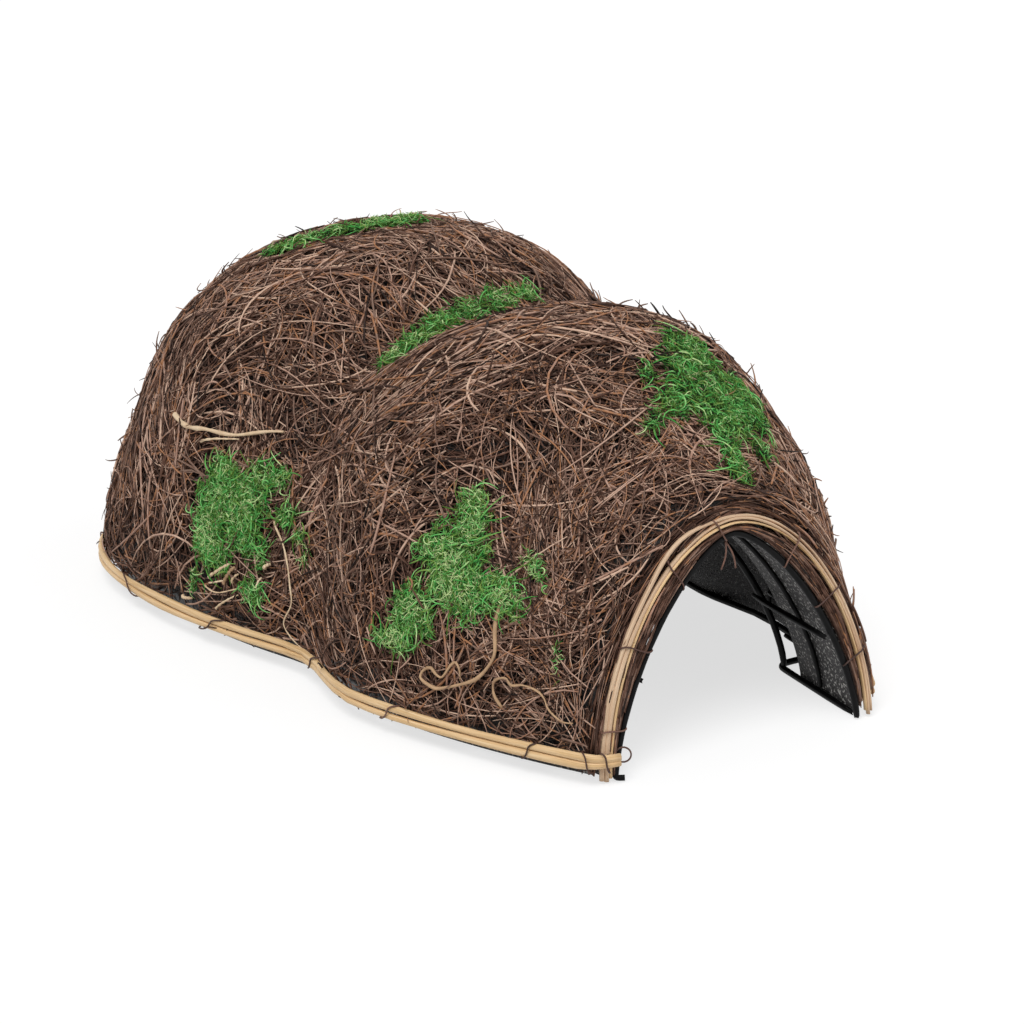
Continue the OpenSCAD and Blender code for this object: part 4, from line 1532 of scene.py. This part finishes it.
class Moss:
    """Pads of moss: fine curled fronds, thickest in the middle and ragged at the rim."""

    points = 3
    per_square_mm = 1.4
    length = (2.2, 6.5)
    radius = (0.18, 0.33)
    low, high = 0.5, 4.5
    sprig_points = 7
    sprig_share = 0.09
    sprig_length = (5.0, 8.0, 19.0)
    sprig_radius = (0.25, 0.5)
    sprig_hump = (0.3, 2.2)
    sprig_low = 1.2
    sprig_fall = 0.65
    sprig_tone = (0.3, 0.95)
    sprig_ends = (0.8, 0.4)
    curl = 2.2
    wiggle = 0.45
    rim_fall = 0.75
    ends = (0.6, 0.3)

    pads = (
        MossPad("front_top_moss_fronds", "front_top_moss", (
            MossLobe(67, 77, 22, 22), MossLobe(94, 75, 17, 15), MossLobe(72, 66, 14, 13),
            MossLobe(57, 65, 10, 12), MossLobe(55, 89, 9, 9), MossLobe(76, 90.5, 5, 5),
            MossLobe(49, 98, 3, 8, 30), MossLobe(40, 79, 11, 10), MossLobe(22, 80, 10, 5),
            MossLobe(15, 81, 5, 5), MossLobe(34, 67, 6, 5), MossLobe(48, 72, 9, 9)),
            (-0.12, 0.75), 51),
        MossPad("left_front_moss_fronds", "left_front_moss", (
            MossLobe(86, 141, 9, 15, 20), MossLobe(88, 149, 20, 14), MossLobe(80, 153, 18, 12),
            MossLobe(102, 160, 12, 12), MossLobe(107, 165, 8, 8), MossLobe(58, 149.5, 12, 9),
            MossLobe(47, 141.5, 8, 3, -30), MossLobe(118, 166.5, 6, 4), MossLobe(24, 154, 0.6, 9, 20)),
            (0.25, 1.05), 52),
        MossPad("left_rear_moss_fronds", "left_rear_moss", (
            MossLobe(271, 158, 18, 18), MossLobe(279, 163, 11, 16), MossLobe(272, 166.5, 13, 9),
            MossLobe(254, 160.5, 10, 14), MossLobe(255, 155, 12, 11), MossLobe(276, 154, 11, 8),
            MossLobe(252, 150, 9, 6), MossLobe(241, 147.5, 7, 6), MossLobe(229, 154, 7, 6),
            MossLobe(216, 157.5, 4, 3), MossLobe(208, 161, 1.2, 6), MossLobe(239, 162.5, 3, 8),
            MossLobe(241.5, 169, 7, 6), MossLobe(286, 172, 2, 7)), (0.15, 0.95), 53),
        MossPad("saddle_moss_fronds", "saddle_moss", (
            MossLobe(231, 113, 5, 9), MossLobe(235, 106, 6, 10), MossLobe(238, 99, 7, 10),
            MossLobe(241, 92, 7, 10), MossLobe(245, 85, 6, 10), MossLobe(249, 78, 4, 9)), (0.1, 0.9), 54),
        MossPad("rear_top_moss_fronds", "rear_top_moss", (
            MossLobe(358, 109, 12, 4, 40), MossLobe(350, 104, 13, 5, 40), MossLobe(340, 98, 13, 5, 40),
            MossLobe(331, 92, 12, 6, 40), MossLobe(328, 87, 9, 6, 40)), (0.1, 0.9), 55),
    )

    def __init__(self) -> None:
        """Makes the moss's material."""
        self.green = MOSS_GREEN.build()

    def places(self, tufts: tuple[MossLobe, ...], rng: np.random.Generator) -> tuple[Array, Array, Array]:
        """Picks the places of a pad's fronds.

        Args:
            tufts: The pad's tufts.
            rng: Source of the random draws.

        Returns:
            Distances along the house, angles over the arch, and shares of the way out to the tuft's rim.
        """
        ys, angles, shares = [], [], []
        for tuft in tufts:
            count = int(self.per_square_mm * math.pi * tuft.along * tuft.over)
            turn = rng.uniform(0.0, 2 * math.pi, count)
            share = np.sqrt(rng.uniform(0.0, 1.0, count))
            ragged = 1.0 + 0.16 * np.sin(5 * turn + tuft.place) + 0.12 * np.sin(9 * turn + tuft.angle)
            u = tuft.along * share * ragged * np.cos(turn)
            v = tuft.over * share * ragged * np.sin(turn)
            lean = math.radians(tuft.turn)
            y = ENTRANCE + tuft.place + u * math.cos(lean) - v * math.sin(lean)
            _, over = FORM.slopes(y, np.full(count, tuft.angle))
            rise = np.linalg.norm(over, axis=-1)
            ys.append(y)
            angles.append(tuft.angle + (u * math.sin(lean) + v * math.cos(lean)) / rise)
            shares.append(share)
        return np.concatenate(ys), np.concatenate(angles), np.concatenate(shares)

    def pad(self, pad: MossPad) -> None:
        """Builds one pad.

        Args:
            pad: What the pad is like.
        """
        rng = np.random.default_rng(pad.seed)
        y, angle, share = self.places(pad.lobes, rng)
        count = y.size
        heading = rng.uniform(0.0, 2 * math.pi, count)
        length = rng.triangular(self.length[0], self.length[0] + 1.0, self.length[1], count)
        bend = rng.normal(0.0, self.curl, count)
        path_y, path_angle = walk(y, angle, heading, length, bend, self.points)
        crown = self.low + (self.high - self.low) * (1.0 - self.rim_fall * share ** 2)
        first = rng.uniform(0.3, 1.0, count) * crown
        last = first + rng.normal(0.6, 1.5, count)
        t = np.linspace(0.0, 1.0, self.points)
        wiggle = rng.normal(0.0, self.wiggle, (count, self.points))
        lifts = np.clip(between(first, last, t) + wiggle, -1.0, self.high + 2.0)
        paths = FORM.lifted(path_y, path_angle, lifts)
        radii = taper(count, self.points, rng.uniform(*self.radius, count), self.ends)
        # Tones differ from patch to patch, and painted shade makes low fronds darker and painted light makes
        # fronds that stand out paler
        patch = 0.12 * np.sin(y / 9.0) * np.sin(angle / 3.0)
        painted_height_shading = 0.7 * (first / self.high - 0.45)
        tone = np.clip(rng.uniform(*pad.tone, count) + patch + painted_height_shading, 0.0, 1.0)
        Strands(paths, radii, tone).add(pad.name, self.green, Slot.MOSS, pad.node)
        self.sprigs(pad.name.replace("fronds", "sprigs"), y, angle, rng)

    def sprigs(self, name: str, y: Array, angle: Array, rng: np.random.Generator) -> None:
        """Lays longer curled sprigs over a pad and past its rim.

        Args:
            name: Name of the piece.
            y: Places of the pad's fronds along the house.
            angle: Places of the pad's fronds over the arch.
            rng: Source of the random draws.
        """
        count = int(self.sprig_share * y.size)
        chosen = rng.integers(0, y.size, count)
        heading = rng.uniform(0.0, 2 * math.pi, count)
        length = rng.triangular(*self.sprig_length, count)
        bend = rng.normal(0.0, self.curl, count)
        path_y, path_angle = walk(y[chosen], angle[chosen], heading, length, bend, self.sprig_points)
        t = np.linspace(0.0, 1.0, self.sprig_points)
        hump = rng.uniform(*self.sprig_hump, count)[:, None] * np.sin(math.pi * t)
        lifts = rng.uniform(self.sprig_low, self.high, count)[:, None] * (1.0 - self.sprig_fall * t) + hump
        radii = taper(count, self.sprig_points, rng.uniform(*self.sprig_radius, count), self.sprig_ends)
        tone = rng.uniform(*self.sprig_tone, count)
        Strands(FORM.lifted(path_y, path_angle, lifts), radii, tone).add(name, self.green, Slot.MOSS)

    def build(self) -> None:
        """Builds all pads."""
        for pad in self.pads:
            self.pad(pad)


@dataclass(frozen=True)
class Stem:
    """A pale stem on the thatch: its route as distances from the entrance and angles, its radius and lift."""

    name: str
    route: tuple[tuple[float, float], ...]
    radius: float
    lift: float
    tone: float
    taper: float = 0.45


class Stems:
    """Pale split stems and curly roots that lie on the thatch."""

    samples = 64
    highest_angle = 177.0
    sunk = 2.0
    stems = (
        Stem("split_stem_long", ((334, 149), (318, 150), (302, 149.5), (276, 147.5), (251, 140.5)),
             1.5, 5.0, 0.75),
        Stem("split_stem_short", ((302, 151.6), (292, 150.4), (281, 149), (274, 147.8)), 0.75, 4.6, 0.85),
        Stem("thin_stem", ((236.5, 155.5), (226, 158.8), (219, 162.5), (214.5, 166.2), (212, 169.2),
                           (217, 172.5), (212.5, 174.5), (204, 176)), 0.55, 6.2, 0.8),
        Stem("curly_root", ((57, 150), (56.5, 155), (53.5, 159.5), (55.5, 162.5), (59.5, 165), (64, 166.5),
                            (70.5, 168), (80, 169.8), (85.5, 170), (91, 169.5), (90, 168.2), (86, 167.2),
                            (82.5, 167.8), (79, 167.8), (75.5, 165.5), (73, 164.5), (70.5, 165.5),
                            (70, 167.2)),
             1.05, 5.6, 0.42),
        Stem("curly_root_end", ((46.5, 168.5), (50.5, 166.8), (51.5, 165), (50, 163.8), (45.5, 162.8),
                                (42, 163.5), (36.5, 162.5), (29.5, 162.2), (25.5, 163), (22.5, 164.8),
                                (16, 166), (11, 165.5)),
             0.75, 5.4, 0.36),
    )
    chips = (
        Stem("broad_chip", ((275, 170.8), (267.5, 169), (259.5, 166.8)), 0.9, 5.0, 0.75, 0.1),
        Stem("flat_chip", ((274, 171.5), (268.5, 170.8), (263, 170)), 0.5, 5.4, 0.85, 0.1),
        Stem("brown_chip", ((263, 170.5), (259.5, 168.7), (256.5, 167)), 0.95, 4.8, 0.3, 0.1),
        Stem("short_chip", ((256.5, 169.5), (253.5, 167.8)), 0.7, 5.2, 0.65, 0.1),
        Stem("stub_chip", ((235.5, 164.2), (233, 163.3)), 0.9, 5.6, 0.85, 0.0),
        Stem("white_chip", ((237, 166.2), (237.5, 167.5), (238, 168.5)), 0.5, 6.0, 1.0, 0.2),
        Stem("low_chip", ((268, 174.8), (259.5, 172.8), (252, 171)), 0.65, 5.4, 0.8, 0.3),
        Stem("curved_chip", ((277.5, 172.2), (265, 172), (251, 169.8)), 0.5, 5.6, 0.7, 0.3),
        Stem("end_chip", ((296.5, 175.2), (289, 175)), 0.9, 5.0, 0.7, 0.1),
    )

    def __init__(self) -> None:
        """Makes the stems' material."""
        self.wood = PALE_BARK.build()

    def piece(self, name: str, stems: tuple[Stem, ...]) -> None:
        """Builds stems as smooth curves through their routes.

        Args:
            name: Name of the piece.
            stems: The stems that it is made of.
        """
        t = np.linspace(0.0, 1.0, self.samples)
        paths, radii = [], []
        for stem in stems:
            route = np.array(stem.route)
            knots = np.linspace(0.0, 1.0, len(route))
            y, angle = (smooth(t, knots, route[:, column]) for column in (0, 1))
            # The ends of a stem sink in among the twigs, and its thickness is knotty
            lift = stem.lift * (0.55 + 0.45 * np.sin(math.pi * t) ** 0.5) - self.sunk
            paths.append(FORM.lifted(ENTRANCE + y, np.minimum(angle, self.highest_angle), lift))
            radii.append(stem.radius * (1.0 + 0.18 * np.sin(t * 31.0)) * (1.0 - stem.taper * t))
        tones = np.array([stem.tone for stem in stems])
        Strands(np.stack(paths), np.stack(radii), tones, Sides.SIX).add(name, self.wood, Slot.TWIG)

    def build(self) -> None:
        """Builds each stem, and all chips as one piece."""
        for stem in self.stems:
            self.piece(stem.name, (stem,))
        self.piece("pale_chips", self.chips)


@dataclass(frozen=True)
class Lamp:
    """A broad far lamp: the direction it shines from, the angle it fills and its strength."""

    name: str
    origin: tuple[float, float, float]
    spread_degrees: float
    strength: float


class Studio:
    """Camera, lamps, backdrop and floor."""

    eye_mm = (-918.2, -1459.8, 620.7)
    look = (0.5142, 0.7994, -0.3107)
    focal_px = 3343.6
    image_px = 1024.0
    sensor_mm = 36.0
    clip_metres = 100.0
    floor_metres = 14.0
    world_strength = 0.52
    lamps = (
        Lamp("key_lamp", (-0.75, -0.55, 1.5), 32.0, 1.85),
        Lamp("fill_lamp", (0.9, -1.0, 0.9), 60.0, 0.5),
    )

    def camera(self) -> None:
        """Sets up the camera."""
        data = bpy.data.cameras.new("camera")
        data.sensor_width = self.sensor_mm
        data.lens = self.focal_px * self.sensor_mm / self.image_px
        data.clip_end = self.clip_metres
        camera = bpy.data.objects.new("camera", data)
        camera.location = Vector(self.eye_mm) * MM
        camera.rotation_euler = Vector(self.look).to_track_quat("-Z", "Y").to_euler()
        bpy.context.scene.collection.objects.link(camera)
        bpy.context.scene.camera = camera

    def light(self) -> None:
        """Adds the lamps and the backdrop."""
        for lamp in self.lamps:
            data = bpy.data.lights.new(lamp.name, "SUN")
            data.angle = math.radians(lamp.spread_degrees)
            data.energy = lamp.strength
            light = bpy.data.objects.new(lamp.name, data)
            light.location = lamp.origin
            light.rotation_euler = (-Vector(lamp.origin)).to_track_quat("-Z", "Y").to_euler()
            bpy.context.scene.collection.objects.link(light)
        world = bpy.data.worlds.new("studio_white")
        world.use_nodes = True
        tree = world.node_tree
        tree.nodes.clear()
        strength = add_node(tree, "ShaderNodeMath", {
            0: seen_rays(tree), 1: 1.0 - self.world_strength, 2: self.world_strength},
            operation="MULTIPLY_ADD")
        glow = add_node(tree, "ShaderNodeBackground", {"Strength": strength.outputs[0]})
        add_node(tree, "ShaderNodeOutputWorld", {"Surface": glow.outputs[0]})
        bpy.context.scene.world = world

    def floor(self) -> None:
        """Adds the floor."""
        shape = bmesh.new()
        bmesh.ops.create_grid(shape, x_segments=1, y_segments=1, size=self.floor_metres)
        mesh = to_mesh(shape, "studio_floor")
        mesh.materials.append(FloorFinish().build())
        floor = bpy.data.objects.new("studio_floor", mesh)
        bpy.context.scene.collection.objects.link(floor)

    def build(self) -> None:
        """Builds the studio."""
        self.camera()
        self.light()
        self.floor()
        bpy.context.scene.view_settings.view_transform = "Standard"


def main() -> None:
    """Builds the studio and every part of the house."""
    logging.basicConfig(level=logging.INFO)
    Studio().build()
    WireFrame().build()
    Liner().build()
    Thatch().build()
    trim = CaneTrim()
    trim.build()
    Ties(trim).build()
    Moss().build()
    Stems().build()


if __name__ == "__main__":
    main()
